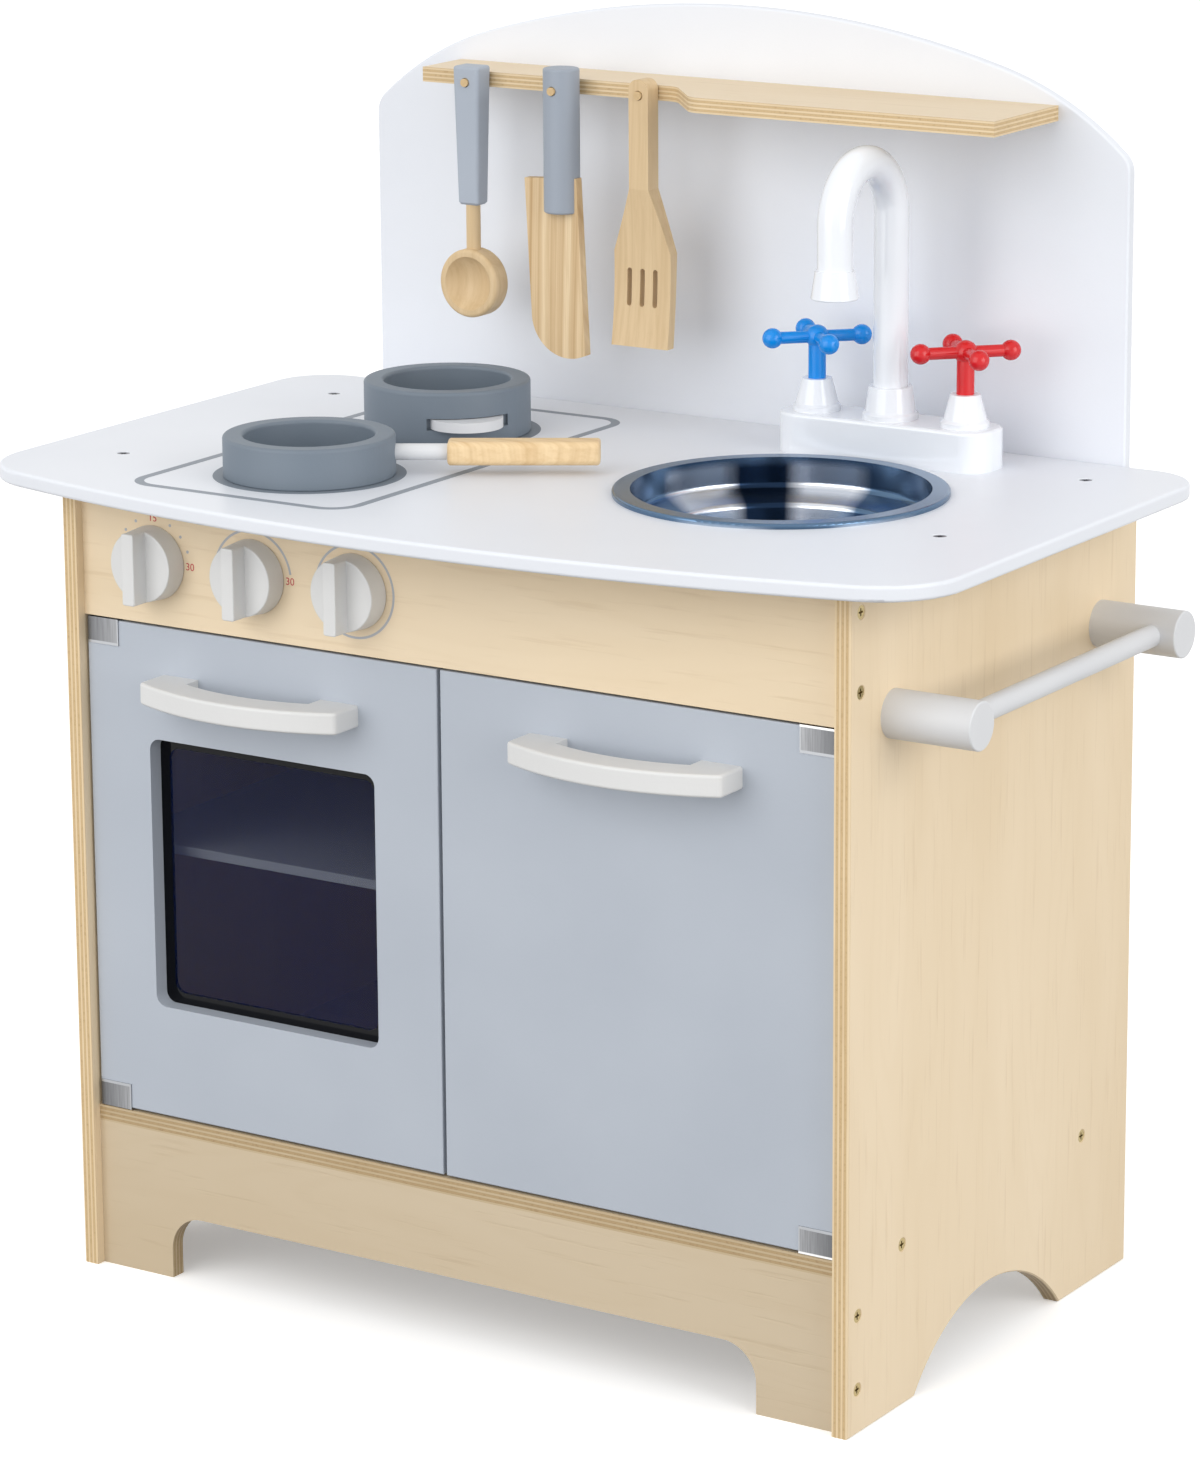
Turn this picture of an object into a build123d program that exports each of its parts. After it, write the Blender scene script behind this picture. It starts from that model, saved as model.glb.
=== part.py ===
from build123d import *
from math import cos, radians, sin, tan
import os

os.makedirs("parts", exist_ok=True)

# A wooden play kitchen: a plywood case with an oven door and a cupboard door,
# a white worktop with a hob and a lift-out sink bowl, a white splashback with
# a spice shelf, taps, a towel rail, two pans and three hanging utensils.
# Millimetres, +Z up, the front faces -Y. The origin is the middle of the
# footprint's box, on the floor.

# Case
case_width = 530.0
case_depth = 332.0
case_height = 479.5
ply = 10.0
edge_ease = 0.8
face_recess = 6.0
bottom_board_underside = 90.0
fascia_height = 78.0
back_board = 6.0
back_recess = 5.0
back_fit = 0.5
rail_height = 60.0
tongue_drop = 35.0
plinth_foot = 52.0
plinth_cut_height = 40.0
plinth_cut_radius = 22.0
arch_setback = 75.0
arch_length = 173.0
arch_rise = 41.0
divider_gap = 0.5
oven_shelf_board = 6.0
oven_shelf_height = 255.0
oven_shelf_setback = 32.0
oven_shelf_fit = 0.5
oven_shelf_rear_gap = 6.0
dowel_radius = 3.0
dowel_length = 16.0
dowel_inset = 30.0

# Worktop
worktop_thickness = 9.0
worktop_overhang = 52.5
worktop_front_reach = 57.5
worktop_bow = 45.0
worktop_front_corner = 50.0
worktop_rear_corner = 36.0
worktop_edge_round = 2.0

# Splashback, its side height, crown and rise all measured from the worktop
splash_width = 524.0
splash_side_height = 176.5
splash_crown_half = 178.0
splash_crown_height = 225.5
splash_rise = 250.8
splash_corner = 14.0
splash_edge_round = 1.5

# Spice shelf with its narrow end for the utensils
shelf_length = 414.0
shelf_shift = 8.6
shelf_board = 9.0
shelf_lift = 197.5
shelf_depth = 77.0
hanger_depth = 42.0
step_start = -16.0
step_length = 30.0
step_round = 14.0
shelf_left_round = 12.0
shelf_right_round = 24.0
peg_radius = 2.5
peg_rise = 3.8
peg_seat = 15.0
peg_proud = 1.2

# Utensils
utensil_clearance = 0.8
peg_clearance = 0.35
ladle_x = -156.8
ladle_top_width = 18.6
ladle_top_depth = 15.0
ladle_end_width = 14.6
ladle_end_depth = 11.6
ladle_handle_length = 84.5
ladle_peg_drop = 9.7
ladle_rod_radius = 4.4
ladle_rod_length = 27.0
ladle_rod_seat = 12.0
ladle_bowl_radius = 21.0
ladle_bowl_thickness = 14.0
ladle_hollow_radius = 16.5
ladle_hollow_depth = 9.0
knife_x = -90.0
knife_handle_radius = 11.0
knife_handle_length = 87.0
knife_peg_drop = 13.0
blade_width = 37.0
blade_thickness = 6.0
blade_length = 107.0
blade_overlap = 20.5
blade_shift = -6.5
blade_tilt = 3.0
blade_tip_rise = 22.0
blade_tip_bulge = 7.0
spatula_x = -35.5
spatula_handle_width = 13.5
spatula_thickness = 11.5
spatula_head_thickness = 7.0
spatula_peg_drop = 9.4
spatula_neck = 65.5
spatula_flare = 38.0
spatula_head_width = 39.5
spatula_length = 160.5
spatula_head_dip = 4.0
spatula_slot_width = 3.3
spatula_slot_length = 23.0
spatula_slot_pitch = 9.0
spatula_slot_drop = 113.5
spatula_top_round = 6.1
spatula_neck_round = 22.8
spatula_shoulder_round = 10.2
spatula_tip_round = 4.1

# Doors
door_thickness = 10.0
door_gap = 1.5
door_meeting_gap = 2.3
door_split = -5.0
hinge_inset = 12.0
window_width = 160.0
window_height = 163.0
window_corner = 7.0
pane_lap = 10.0
pane_thickness = 2.0
clip_width = 22.0
clip_height = 15.0
clip_sheet = 0.8
clip_inset = 1.0
pin_radius = 2.0
pin_seat = 8.0
pin_grip = 14.0
running_clearance = 0.06
strike_width = 14.0
strike_height = 10.0
strike_thickness = 1.2
strike_gap = 0.4
catch_width = 24.0
catch_depth = 13.0
catch_height = 20.0
magnet_radius = 4.0
magnet_depth = 3.0

# Door handles
handle_length = 139.0
handle_height = 13.0
handle_end_depth = 22.0
handle_bow = 16.0
handle_grip = 19.0
handle_foot = 26.0
handle_gap_round = 8.0
handle_gap_side = 11.8
handle_edge_round = 1.8
handle_drop = 34.5

# Oven and hob knobs
knob_count = 3
knob_pitch = 71.0
knob_inset = 51.7
knob_drop = 41.2
knob_base_radius = 22.0
knob_face_radius = 21.1
knob_skirt = 13.0
knob_bar_width = 8.6
knob_bar_proud = 11.5
knob_gap = 0.5
spindle_radius = 4.0
spindle_seat = 10.0
flange_radius = 8.0
flange_thickness = 2.0
flange_gap = 0.4

# Sink bowl
sink_x = 129.0
sink_faucet_gap = 1.0
sink_rim_radius = 96.0
sink_rim_height = 3.0
sink_wall_radius = 87.0
sink_step_depth = 14.0
sink_step_drop = 8.0
sink_well_radius = 72.0
sink_depth = 50.0
sink_sheet = 1.4
sink_cut_clearance = 1.2

# Taps
faucet_shift = 5.0
faucet_rear_gap = 30.0
faucet_length = 140.0
faucet_width = 38.0
faucet_height = 24.0
faucet_corner = 15.0
tap_pitch = 49.5
bonnet_base_radius = 14.2
bonnet_top_radius = 8.8
bonnet_skirt = 3.0
bonnet_height = 19.0
stem_radius = 5.2
stem_seat = 14.0
tap_hub_rise = 24.4
tap_hub_radius = 7.0
tap_arm_radius = 3.6
tap_arm_reach = 27.0
tap_ball_radius = 6.0
collar_base_radius = 16.4
collar_top_radius = 12.7
spout_radius = 10.2
spout_floor_gap = 0.5
spout_reach = 65.0
spout_shelf_gap = 9.9
spout_drop = 24.5
nozzle_top_radius = 11.4
nozzle_mouth_radius = 13.9
nozzle_height = 16.5
nozzle_recess = 3.0
nozzle_lip = 2.5

# Pans
pan_x = -130.8
pot_x = -134.4
pan_setback = 61.0
pot_setback = 207.5
pan_radius = 50.0
pan_wall = 12.0
pan_floor = 6.0
pan_height = 24.0
pan_round = 2.0
pan_handle_angle = 31.0
pan_rod_radius = 4.8
pan_rod_rise = 13.0
pan_rod_length = 30.0
pan_rod_seat = 8.0
pan_grip_seat = 20.0
pan_grip_length = 88.0
pan_grip_width = 18.0
pan_grip_height = 14.0
pan_grip_round = 4.0
pot_height = 32.0
pot_handle_rise = 13.0
pot_handle_angle = -40.0
pot_handle_radius = 22.0
pot_handle_thickness = 6.0
pot_slot_height = 7.0
pot_slot_length = 50.0
pot_slot_depth = 9.0

# Towel rail
post_radius = 13.8
post_length = 54.5
post_front_inset = 46.0
post_rear_inset = 45.0
post_drop = 77.0
post_round = 1.0
towel_rod_radius = 6.5
towel_rod_offset = 39.0
towel_rod_seat = 8.0

# Screws
head_radius = 3.8
shank_radius = 1.8
head_angle = 90.0
screw_length = 34.0
short_length = 20.0
back_length = 14.0
tip_room = 0.6
head_sink = 0.4
cross_length = 4.4
cross_width = 1.1
cross_depth = 1.6
pane_head_radius = 2.4
pane_shank_radius = 1.1
pane_screw_length = 7.5
fascia_screw_heights = (14.0, 58.0)
board_screw_insets = (60.0, 58.0)
plinth_screw_heights = (26.0, 69.0)
left_worktop_insets = (53.0, 66.0)
right_worktop_insets = (105.0, 56.0)
faucet_screw_spread = 26.0
splash_screw_x = (-210.0, -70.0, 70.0, 210.0)
splash_screw_drop = 18.0
back_screw_x = (-210.0, -90.0, 90.0, 210.0)
divider_screw_heights = (200.0, 330.0)
shelf_screw_x = (-130.0, 20.0, 160.0)

# Places worked out from the sizes above
half_case = case_width / 2
half_inner = half_case - ply
front = (worktop_front_reach - case_depth) / 2
face_y = front + face_recess
board_rear = front + case_depth - back_recess - back_board
back_face = board_rear + back_board
fascia_underside = case_height - fascia_height
board_top = bottom_board_underside + ply
worktop_top = case_height + worktop_thickness
half_worktop = half_case + worktop_overhang
hinge_x = half_inner - door_gap - hinge_inset
hinge_y = face_y + door_thickness / 2
door_back = face_y + door_thickness
door_bottom = board_top + door_gap
door_top = fascia_underside - door_gap
handle_z = door_top - handle_drop
knob_z = case_height - knob_drop
shelf_underside = worktop_top + shelf_lift
peg_z = shelf_underside + peg_rise
hanger_y = board_rear - hanger_depth
faucet_x = sink_x + faucet_shift
faucet_y = board_rear - faucet_rear_gap - faucet_width / 2
sink_y = faucet_y - faucet_width / 2 - sink_faucet_gap - sink_rim_radius
faucet_top = worktop_top + faucet_height
rail_underside = case_height - rail_height
divider_left = door_split - ply / 2
divider_right = door_split + ply / 2


def facing(direction, *points):
    """Planes at the points that all look the same way."""
    return [Plane(origin=point, z_dir=direction) for point in points]


right_way, left_way = (1, 0, 0), (-1, 0, 0)
front_way, back_way = (0, -1, 0), (0, 1, 0)
up_way, down_way = (0, 0, 1), (0, 0, -1)


def from_edges(insets):
    """Two places along the case's depth, from its front and its rear edge."""
    return front + insets[0], front + case_depth - insets[1]


def slab(low, high):
    """A plain board between two opposite corners, joined to the open part."""
    with Locations((Vector(*low) + Vector(*high)) / 2):
        Box(*(Vector(*high) - Vector(*low)))


# Countersunk cross-head screws. Every screw is seated on the plane of the
# face it enters, and its hole is cut in each board from the same planes.
def screw_solid(length, head, shank):
    """One screw with its head just under the plane z = 0, pointing down."""
    top = -head_sink
    neck = top - (head - shank) / tan(radians(head_angle / 2))
    with BuildPart() as screw:
        with BuildSketch(Plane.XZ):
            with BuildLine():
                Polyline(
                    (0, top),
                    (head, top),
                    (shank, neck),
                    (shank, shank - length),
                    (0, -length),
                    close=True,
                )
            make_face()
        revolve(axis=Axis.Z)
        with BuildSketch(Plane.XY.offset(top)):
            Rectangle(cross_length * head / head_radius, cross_width)
            Rectangle(cross_width, cross_length * head / head_radius)
        extrude(amount=-cross_depth, mode=Mode.SUBTRACT)
    return screw.part


def screws(planes, length, head=head_radius, shank=shank_radius):
    """A group of like screws, one on each plane."""
    one = screw_solid(length, head, shank)
    with BuildPart() as group:
        with Locations(*planes):
            add(one)
    return group.part


def screw_holes(planes, length, head=head_radius, shank=shank_radius):
    """Cut the countersunk holes for a group of screws in the open part."""
    mouth = head + head_sink * tan(radians(head_angle / 2))
    with Locations(*planes):
        CounterSinkHole(shank, mouth, depth=length + tip_room, counter_sink_angle=head_angle)


fascia_screw_y = face_y + ply / 2
board_screw_z = bottom_board_underside + ply / 2


def side_planes(side):
    """The six screws through one side panel into fascia, board and plinth."""
    spots = [(side * half_case, fascia_screw_y, case_height - drop) for drop in fascia_screw_heights]
    spots += [(side * half_case, y, board_screw_z) for y in from_edges(board_screw_insets)]
    spots += [(side * half_case, fascia_screw_y, height) for height in plinth_screw_heights]
    return facing((side, 0, 0), *spots)


left_planes, right_planes = side_planes(-1), side_planes(1)
edge_line = half_case - ply / 2
worktop_planes = facing(
    up_way,
    *[(-edge_line, y, worktop_top) for y in from_edges(left_worktop_insets)],
    *[(edge_line, y, worktop_top) for y in from_edges(right_worktop_insets)],
)
faucet_planes = facing(
    down_way,
    *[(faucet_x + side * faucet_screw_spread, faucet_y, case_height) for side in (-1, 1)],
)
splash_planes = facing(back_way, *[(x, back_face, case_height - splash_screw_drop) for x in splash_screw_x])
tongue_foot = case_height - tongue_drop
back_top = tongue_foot - back_fit
back_planes = facing(
    back_way,
    *[(x, back_face, board_screw_z) for x in back_screw_x],
    *[(x, back_face, (rail_underside + back_top) / 2) for x in back_screw_x],
    *[(door_split, back_face, height) for height in divider_screw_heights],
)
shelf_middle = shelf_underside + shelf_board / 2
shelf_planes = facing(back_way, *[(x, back_face, shelf_middle) for x in shelf_screw_x])
post_spots = from_edges((post_front_inset, post_rear_inset))
post_z = case_height - post_drop
post_planes = facing(left_way, *[(half_inner, y, post_z) for y in post_spots])
foot_middle = handle_length / 2 - handle_foot / 2


def door_span(side):
    """The left and the right edge of one door, -1 for the left door."""
    return sorted((door_split + side * door_meeting_gap / 2, side * (half_inner - door_gap)))


def door_middle(side):
    """The place across the case of one door's middle."""
    return sum(door_span(side)) / 2


def handle_planes(side):
    """The two screws that hold a door's handle, driven from the door's back."""
    xs = [door_middle(side) - foot_middle, door_middle(side) + foot_middle]
    return facing(back_way, *[(x, door_back, handle_z) for x in xs])


# Side panels: plywood with a low arch cut in the foot of each
oven_dowel_z = oven_shelf_height - dowel_radius
dowel_ys = [front + oven_shelf_setback + dowel_inset, board_rear - oven_shelf_rear_gap - dowel_inset]


def side_panel(side):
    """One side of the case, -1 for the left and 1 for the right."""
    inner_x = side * half_inner
    arch_radius = (arch_length**2 / 4 + arch_rise**2) / (2 * arch_rise)
    arch_y = front + arch_setback + arch_length / 2
    with BuildPart() as panel:
        with BuildSketch(Plane.YZ.offset(min(inner_x, side * half_case))):
            with Locations((front + case_depth / 2, case_height / 2)):
                Rectangle(case_depth, case_height)
            with Locations((arch_y, arch_rise - arch_radius)):
                Circle(arch_radius, mode=Mode.SUBTRACT)
        extrude(amount=ply)
        outer = panel.faces().sort_by(Axis.X)[-1 if side > 0 else 0]
        chamfer(outer.edges(), edge_ease)
        screw_holes(left_planes if side < 0 else right_planes, screw_length)
        screw_holes(worktop_planes, screw_length)
        if side > 0:
            screw_holes(post_planes, screw_length)
        else:
            with Locations(*facing(right_way, *[(inner_x, y, oven_dowel_z) for y in dowel_ys])):
                Hole(dowel_radius, depth=dowel_length / 2)
    return panel.part


left_panel = side_panel(-1)
left_panel.label = "side_panel_left"
export_step(left_panel, "parts/side_panel_left.step")
right_panel = side_panel(1)
right_panel.label = "side_panel_right"
export_step(right_panel, "parts/side_panel_right.step")

# Bottom board of the oven and the cupboard, with the lower door pins' bores
with BuildPart() as bottom_board:
    slab((-half_inner, face_y, bottom_board_underside), (half_inner, board_rear, board_top))
    screw_holes(left_planes + right_planes, screw_length)
    screw_holes(back_planes, back_length)
    with Locations(*facing(up_way, (-hinge_x, hinge_y, board_top), (hinge_x, hinge_y, board_top))):
        Hole(pin_radius + running_clearance, depth=pin_seat + tip_room)
bottom_board.part.label = "bottom_board"
export_step(bottom_board.part, "parts/bottom_board.step")

# Plinth under the doors, cut away between two feet
with BuildPart() as plinth:
    slab((-half_inner, face_y, 0), (half_inner, face_y + ply, bottom_board_underside))
    with BuildSketch(Plane.XZ.offset(-face_y - ply)) as cut:
        with Locations((0, plinth_cut_height / 2)):
            Rectangle(2 * (half_inner - plinth_foot), plinth_cut_height)
        fillet(cut.vertices().group_by(Axis.Y)[-1], plinth_cut_radius)
    extrude(amount=ply, mode=Mode.SUBTRACT)
    screw_holes(left_planes + right_planes, screw_length)
plinth.part.label = "plinth"
export_step(plinth.part, "parts/plinth.step")

# Fascia that carries the knobs, with the upper door pins' bores
knob_xs = [knob_inset - half_inner + knob_pitch * n for n in range(knob_count)]
with BuildPart() as fascia:
    slab((-half_inner, face_y, fascia_underside), (half_inner, face_y + ply, case_height))
    screw_holes(left_planes + right_planes, screw_length)
    with Locations(*facing(front_way, *[(x, face_y, knob_z) for x in knob_xs])):
        Hole(spindle_radius + running_clearance, depth=ply)
    pin_spots = [(side * hinge_x, hinge_y, fascia_underside) for side in (-1, 1)]
    with Locations(*facing(down_way, *pin_spots)):
        Hole(pin_radius + running_clearance, depth=pin_seat + tip_room)
fascia.part.label = "fascia"
export_step(fascia.part, "parts/fascia.step")

# Rear rail under the worktop, which the splashback is screwed to
with BuildPart() as rear_rail:
    slab((-half_inner, board_rear - ply, rail_underside), (half_inner, board_rear, case_height))
    screw_holes(splash_planes, back_length)
    screw_holes(back_planes, back_length)
rear_rail.part.label = "rear_rail"
export_step(rear_rail.part, "parts/rear_rail.step")

# Divider between the oven and the cupboard, notched round the rear rail
with BuildPart() as divider:
    slab((divider_left, door_back + divider_gap, board_top), (divider_right, board_rear, case_height))
    with BuildSketch(Plane.YZ.offset(divider_left)):
        with Locations((board_rear - ply / 2, case_height - rail_height / 2)):
            Rectangle(ply, rail_height)
    extrude(amount=ply, mode=Mode.SUBTRACT)
    screw_holes(back_planes, back_length)
    with Locations(*facing(left_way, *[(divider_left, y, oven_dowel_z) for y in dowel_ys])):
        Hole(dowel_radius, depth=dowel_length / 2)
divider.part.label = "divider"
export_step(divider.part, "parts/divider.step")

# Back panel of the case, below the splashback's tongue
with BuildPart() as back_panel:
    slab(
        (back_fit - half_inner, board_rear, bottom_board_underside),
        (half_inner - back_fit, back_face, back_top),
    )
    screw_holes(back_planes, back_length)
back_panel.part.label = "back_panel"
export_step(back_panel.part, "parts/back_panel.step")

# Loose oven shelf on four dowels
with BuildPart() as oven_shelf:
    slab(
        (oven_shelf_fit - half_inner, front + oven_shelf_setback, oven_shelf_height),
        (
            divider_left - oven_shelf_fit,
            board_rear - oven_shelf_rear_gap,
            oven_shelf_height + oven_shelf_board,
        ),
    )
    fillet(oven_shelf.edges().filter_by(Axis.X).group_by(Axis.Y)[0], edge_ease)
oven_shelf.part.label = "oven_shelf"
export_step(oven_shelf.part, "parts/oven_shelf.step")

with BuildPart() as shelf_dowels:
    for x in (-half_inner, divider_left):
        for y in dowel_ys:
            with BuildSketch(Plane(origin=(x, y, oven_dowel_z), z_dir=right_way)):
                Circle(dowel_radius)
            extrude(amount=dowel_length / 2, both=True)
shelf_dowels.part.label = "shelf_dowels"
export_step(shelf_dowels.part, "parts/shelf_dowels.step")

# Worktop: a white board with a bowed front, rounded corners and the sink's cut-out
with BuildPart() as worktop:
    with BuildSketch(Plane.XY.offset(case_height)) as worktop_outline:
        with BuildLine():
            side_front = front - worktop_front_reach + worktop_bow
            bow = ThreePointArc(
                (-half_worktop, side_front), (0, front - worktop_front_reach), (half_worktop, side_front)
            )
            Polyline(bow @ 1, (half_worktop, board_rear), (-half_worktop, board_rear), bow @ 0)
        make_face()
        fillet(worktop_outline.vertices().group_by(Axis.Y)[0], worktop_front_corner)
        fillet(worktop_outline.vertices().group_by(Axis.Y)[-1], worktop_rear_corner)
    extrude(amount=worktop_thickness)
    fillet(worktop.faces().sort_by(Axis.Z)[-1].edges(), worktop_edge_round)
    fillet(worktop.faces().sort_by(Axis.Z)[0].edges(), worktop_edge_round)
    with Locations(*facing(up_way, (sink_x, sink_y, worktop_top))):
        Hole(sink_wall_radius + sink_cut_clearance, depth=worktop_thickness)
    screw_holes(worktop_planes, screw_length)
    screw_holes(faucet_planes, short_length)
worktop.part.label = "worktop"
export_step(worktop.part, "parts/worktop.step")

# Splashback: an arched white board whose tongue runs down behind the worktop
with BuildPart() as splashback:
    half_splash = splash_width / 2
    shoulder_z = worktop_top + splash_side_height
    crown_z = worktop_top + splash_crown_height
    with BuildSketch(Plane.XZ.offset(-back_face)) as splash_outline:
        with BuildLine():
            crown = ThreePointArc(
                (splash_crown_half, crown_z), (0, worktop_top + splash_rise), (-splash_crown_half, crown_z)
            )
            left_shoulder = TangentArc(crown @ 1, (-half_splash, shoulder_z), tangent=crown % 1)
            right_shoulder = TangentArc(
                crown @ 0, (half_splash, shoulder_z), tangent=(crown % 0) * -1
            )
            Line(left_shoulder @ 1, (-half_splash, case_height))
            Line(right_shoulder @ 1, (half_splash, case_height))
            Line((-half_splash, case_height), (half_splash, case_height))
        make_face()
        shoulder_points = [
            point for point in splash_outline.vertices() if abs(point.Y - shoulder_z) < edge_ease
        ]
        fillet(shoulder_points, splash_corner)
    extrude(amount=back_board)
    front_face = splashback.faces().sort_by(Axis.Y)[0]
    fillet(front_face.edges().sort_by(Axis.Z)[1:], splash_edge_round)
    slab(
        (back_fit - half_inner, board_rear, tongue_foot),
        (half_inner - back_fit, back_face, case_height),
    )
    screw_holes(splash_planes, back_length)
    screw_holes(shelf_planes, back_length)
splashback.part.label = "splashback"
export_step(splashback.part, "parts/splashback.step")

# Spice shelf: plywood, narrow where the utensils hang and wide on the right
peg_xs = (ladle_x, knife_x, spatula_x)
with BuildPart() as spice_shelf:
    shelf_left = shelf_shift - shelf_length / 2
    shelf_right = shelf_shift + shelf_length / 2
    with BuildSketch(Plane.XY.offset(shelf_underside)) as shelf_outline:
        with BuildLine():
            Polyline(
                (shelf_left, board_rear),
                (shelf_left, hanger_y),
                (step_start, hanger_y),
                (step_start + step_length, board_rear - shelf_depth),
                (shelf_right, board_rear - shelf_depth),
                (shelf_right, board_rear),
                close=True,
            )
        make_face()
        corners = shelf_outline.vertices().sort_by(Axis.X)
        front_corners = [v for v in corners if v.Y < board_rear - edge_ease]
        fillet(front_corners[1:-1], step_round)
        fillet(front_corners[0], shelf_left_round)
        fillet(front_corners[-1], shelf_right_round)
    extrude(amount=shelf_board)
    with Locations(*facing(front_way, *[(x, hanger_y, peg_z) for x in peg_xs])):
        Hole(peg_radius, depth=peg_seat)
    screw_holes(shelf_planes, back_length)
spice_shelf.part.label = "spice_shelf"
export_step(spice_shelf.part, "parts/spice_shelf.step")

# Dowel pegs that the utensils hang on, each as long as its utensil is thick
utensil_depths = (ladle_top_depth, 2 * knife_handle_radius, spatula_thickness)
with BuildPart() as utensil_pegs:
    for x, depth in zip(peg_xs, utensil_depths):
        with BuildSketch(Plane(origin=(x, hanger_y + peg_seat, peg_z), z_dir=front_way)):
            Circle(peg_radius)
        extrude(amount=peg_seat + utensil_clearance + depth + peg_proud)
utensil_pegs.part.label = "utensil_pegs"
export_step(utensil_pegs.part, "parts/utensil_pegs.step")

# Ladle: a tapered square handle on a turned wooden bowl with its rod
ladle_y = hanger_y - utensil_clearance - ladle_top_depth / 2
ladle_top_z = peg_z + ladle_peg_drop
ladle_end_z = ladle_top_z - ladle_handle_length
with BuildPart() as ladle_handle:
    for z, width, depth in (
        (ladle_end_z, ladle_end_width, ladle_end_depth),
        (ladle_top_z, ladle_top_width, ladle_top_depth),
    ):
        with BuildSketch(Plane(origin=(ladle_x, ladle_y, z))):
            RectangleRounded(width, depth, depth / 6)
    loft()
    fillet(ladle_handle.faces().sort_by(Axis.Z)[-1].edges(), ladle_top_depth / 8)
    chamfer(ladle_handle.faces().sort_by(Axis.Z)[0].edges(), ladle_end_depth / 8)
    with Locations(*facing(front_way, (ladle_x, ladle_y - ladle_top_depth / 2, peg_z))):
        Hole(peg_radius + peg_clearance, depth=ladle_top_depth)
    with Locations(*facing(down_way, (ladle_x, ladle_y, ladle_end_z))):
        Hole(ladle_rod_radius, depth=ladle_rod_seat)
ladle_handle.part.label = "ladle_handle"
export_step(ladle_handle.part, "parts/ladle_handle.step")

with BuildPart() as ladle_bowl:
    bowl_z = ladle_end_z - ladle_rod_length - ladle_bowl_radius
    with BuildSketch(Plane(origin=(ladle_x, ladle_y, bowl_z), z_dir=front_way)):
        Circle(ladle_bowl_radius)
    extrude(amount=ladle_bowl_thickness / 2, both=True)
    fillet(ladle_bowl.edges().filter_by(GeomType.CIRCLE), ladle_bowl_thickness / 6)
    with BuildSketch(Plane(origin=(ladle_x, ladle_y, bowl_z + ladle_bowl_radius - ladle_rod_radius))):
        Circle(ladle_rod_radius)
    extrude(amount=ladle_rod_length + ladle_rod_radius + ladle_rod_seat)
    hollow_sphere = (ladle_hollow_radius**2 + ladle_hollow_depth**2) / (2 * ladle_hollow_depth)
    bowl_front = ladle_y - ladle_bowl_thickness / 2
    with Locations((ladle_x, bowl_front + ladle_hollow_depth - hollow_sphere, bowl_z)):
        Sphere(hollow_sphere, mode=Mode.SUBTRACT)
ladle_bowl.part.label = "ladle_bowl"
export_step(ladle_bowl.part, "parts/ladle_bowl.step")

# Knife: a striped wooden blade let into a slot across a round handle
knife_y = hanger_y - utensil_clearance - knife_handle_radius
knife_top_z = peg_z + knife_peg_drop
knife_end_z = knife_top_z - knife_handle_length
blade_plane = Plane(
    origin=(knife_x + blade_shift, knife_y, knife_end_z + blade_overlap),
    x_dir=(cos(radians(blade_tilt)), 0, sin(radians(blade_tilt))),
    z_dir=front_way,
)


with BuildSketch() as blade_outline:
    half_blade = blade_width / 2
    with BuildLine():
        blade_edge = Polyline(
            (-half_blade, blade_tip_rise - blade_length),
            (-half_blade, 0),
            (half_blade, 0),
            (half_blade, -blade_length),
        )
        tip_middle = (-half_blade / 2, blade_tip_rise / 2 - blade_length - blade_tip_bulge)
        ThreePointArc(blade_edge @ 1, tip_middle, blade_edge @ 0)
    make_face()

with BuildPart() as knife_handle:
    with BuildSketch(Plane(origin=(knife_x, knife_y, knife_end_z))):
        Circle(knife_handle_radius)
    extrude(amount=knife_handle_length)
    fillet(knife_handle.edges().filter_by(GeomType.CIRCLE), knife_handle_radius / 8)
    with BuildSketch(blade_plane):
        add(blade_outline.sketch)
    extrude(amount=blade_thickness / 2, both=True, mode=Mode.SUBTRACT)
    with Locations(*facing(front_way, (knife_x, knife_y - knife_handle_radius, peg_z))):
        Hole(peg_radius + peg_clearance, depth=2 * knife_handle_radius)
knife_handle.part.label = "knife_handle"
export_step(knife_handle.part, "parts/knife_handle.step")

with BuildPart() as knife_blade:
    with BuildSketch(blade_plane):
        add(blade_outline.sketch)
    extrude(amount=blade_thickness / 2, both=True)
knife_blade.part.label = "knife_blade"
export_step(knife_blade.part, "parts/knife_blade.step")

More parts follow.
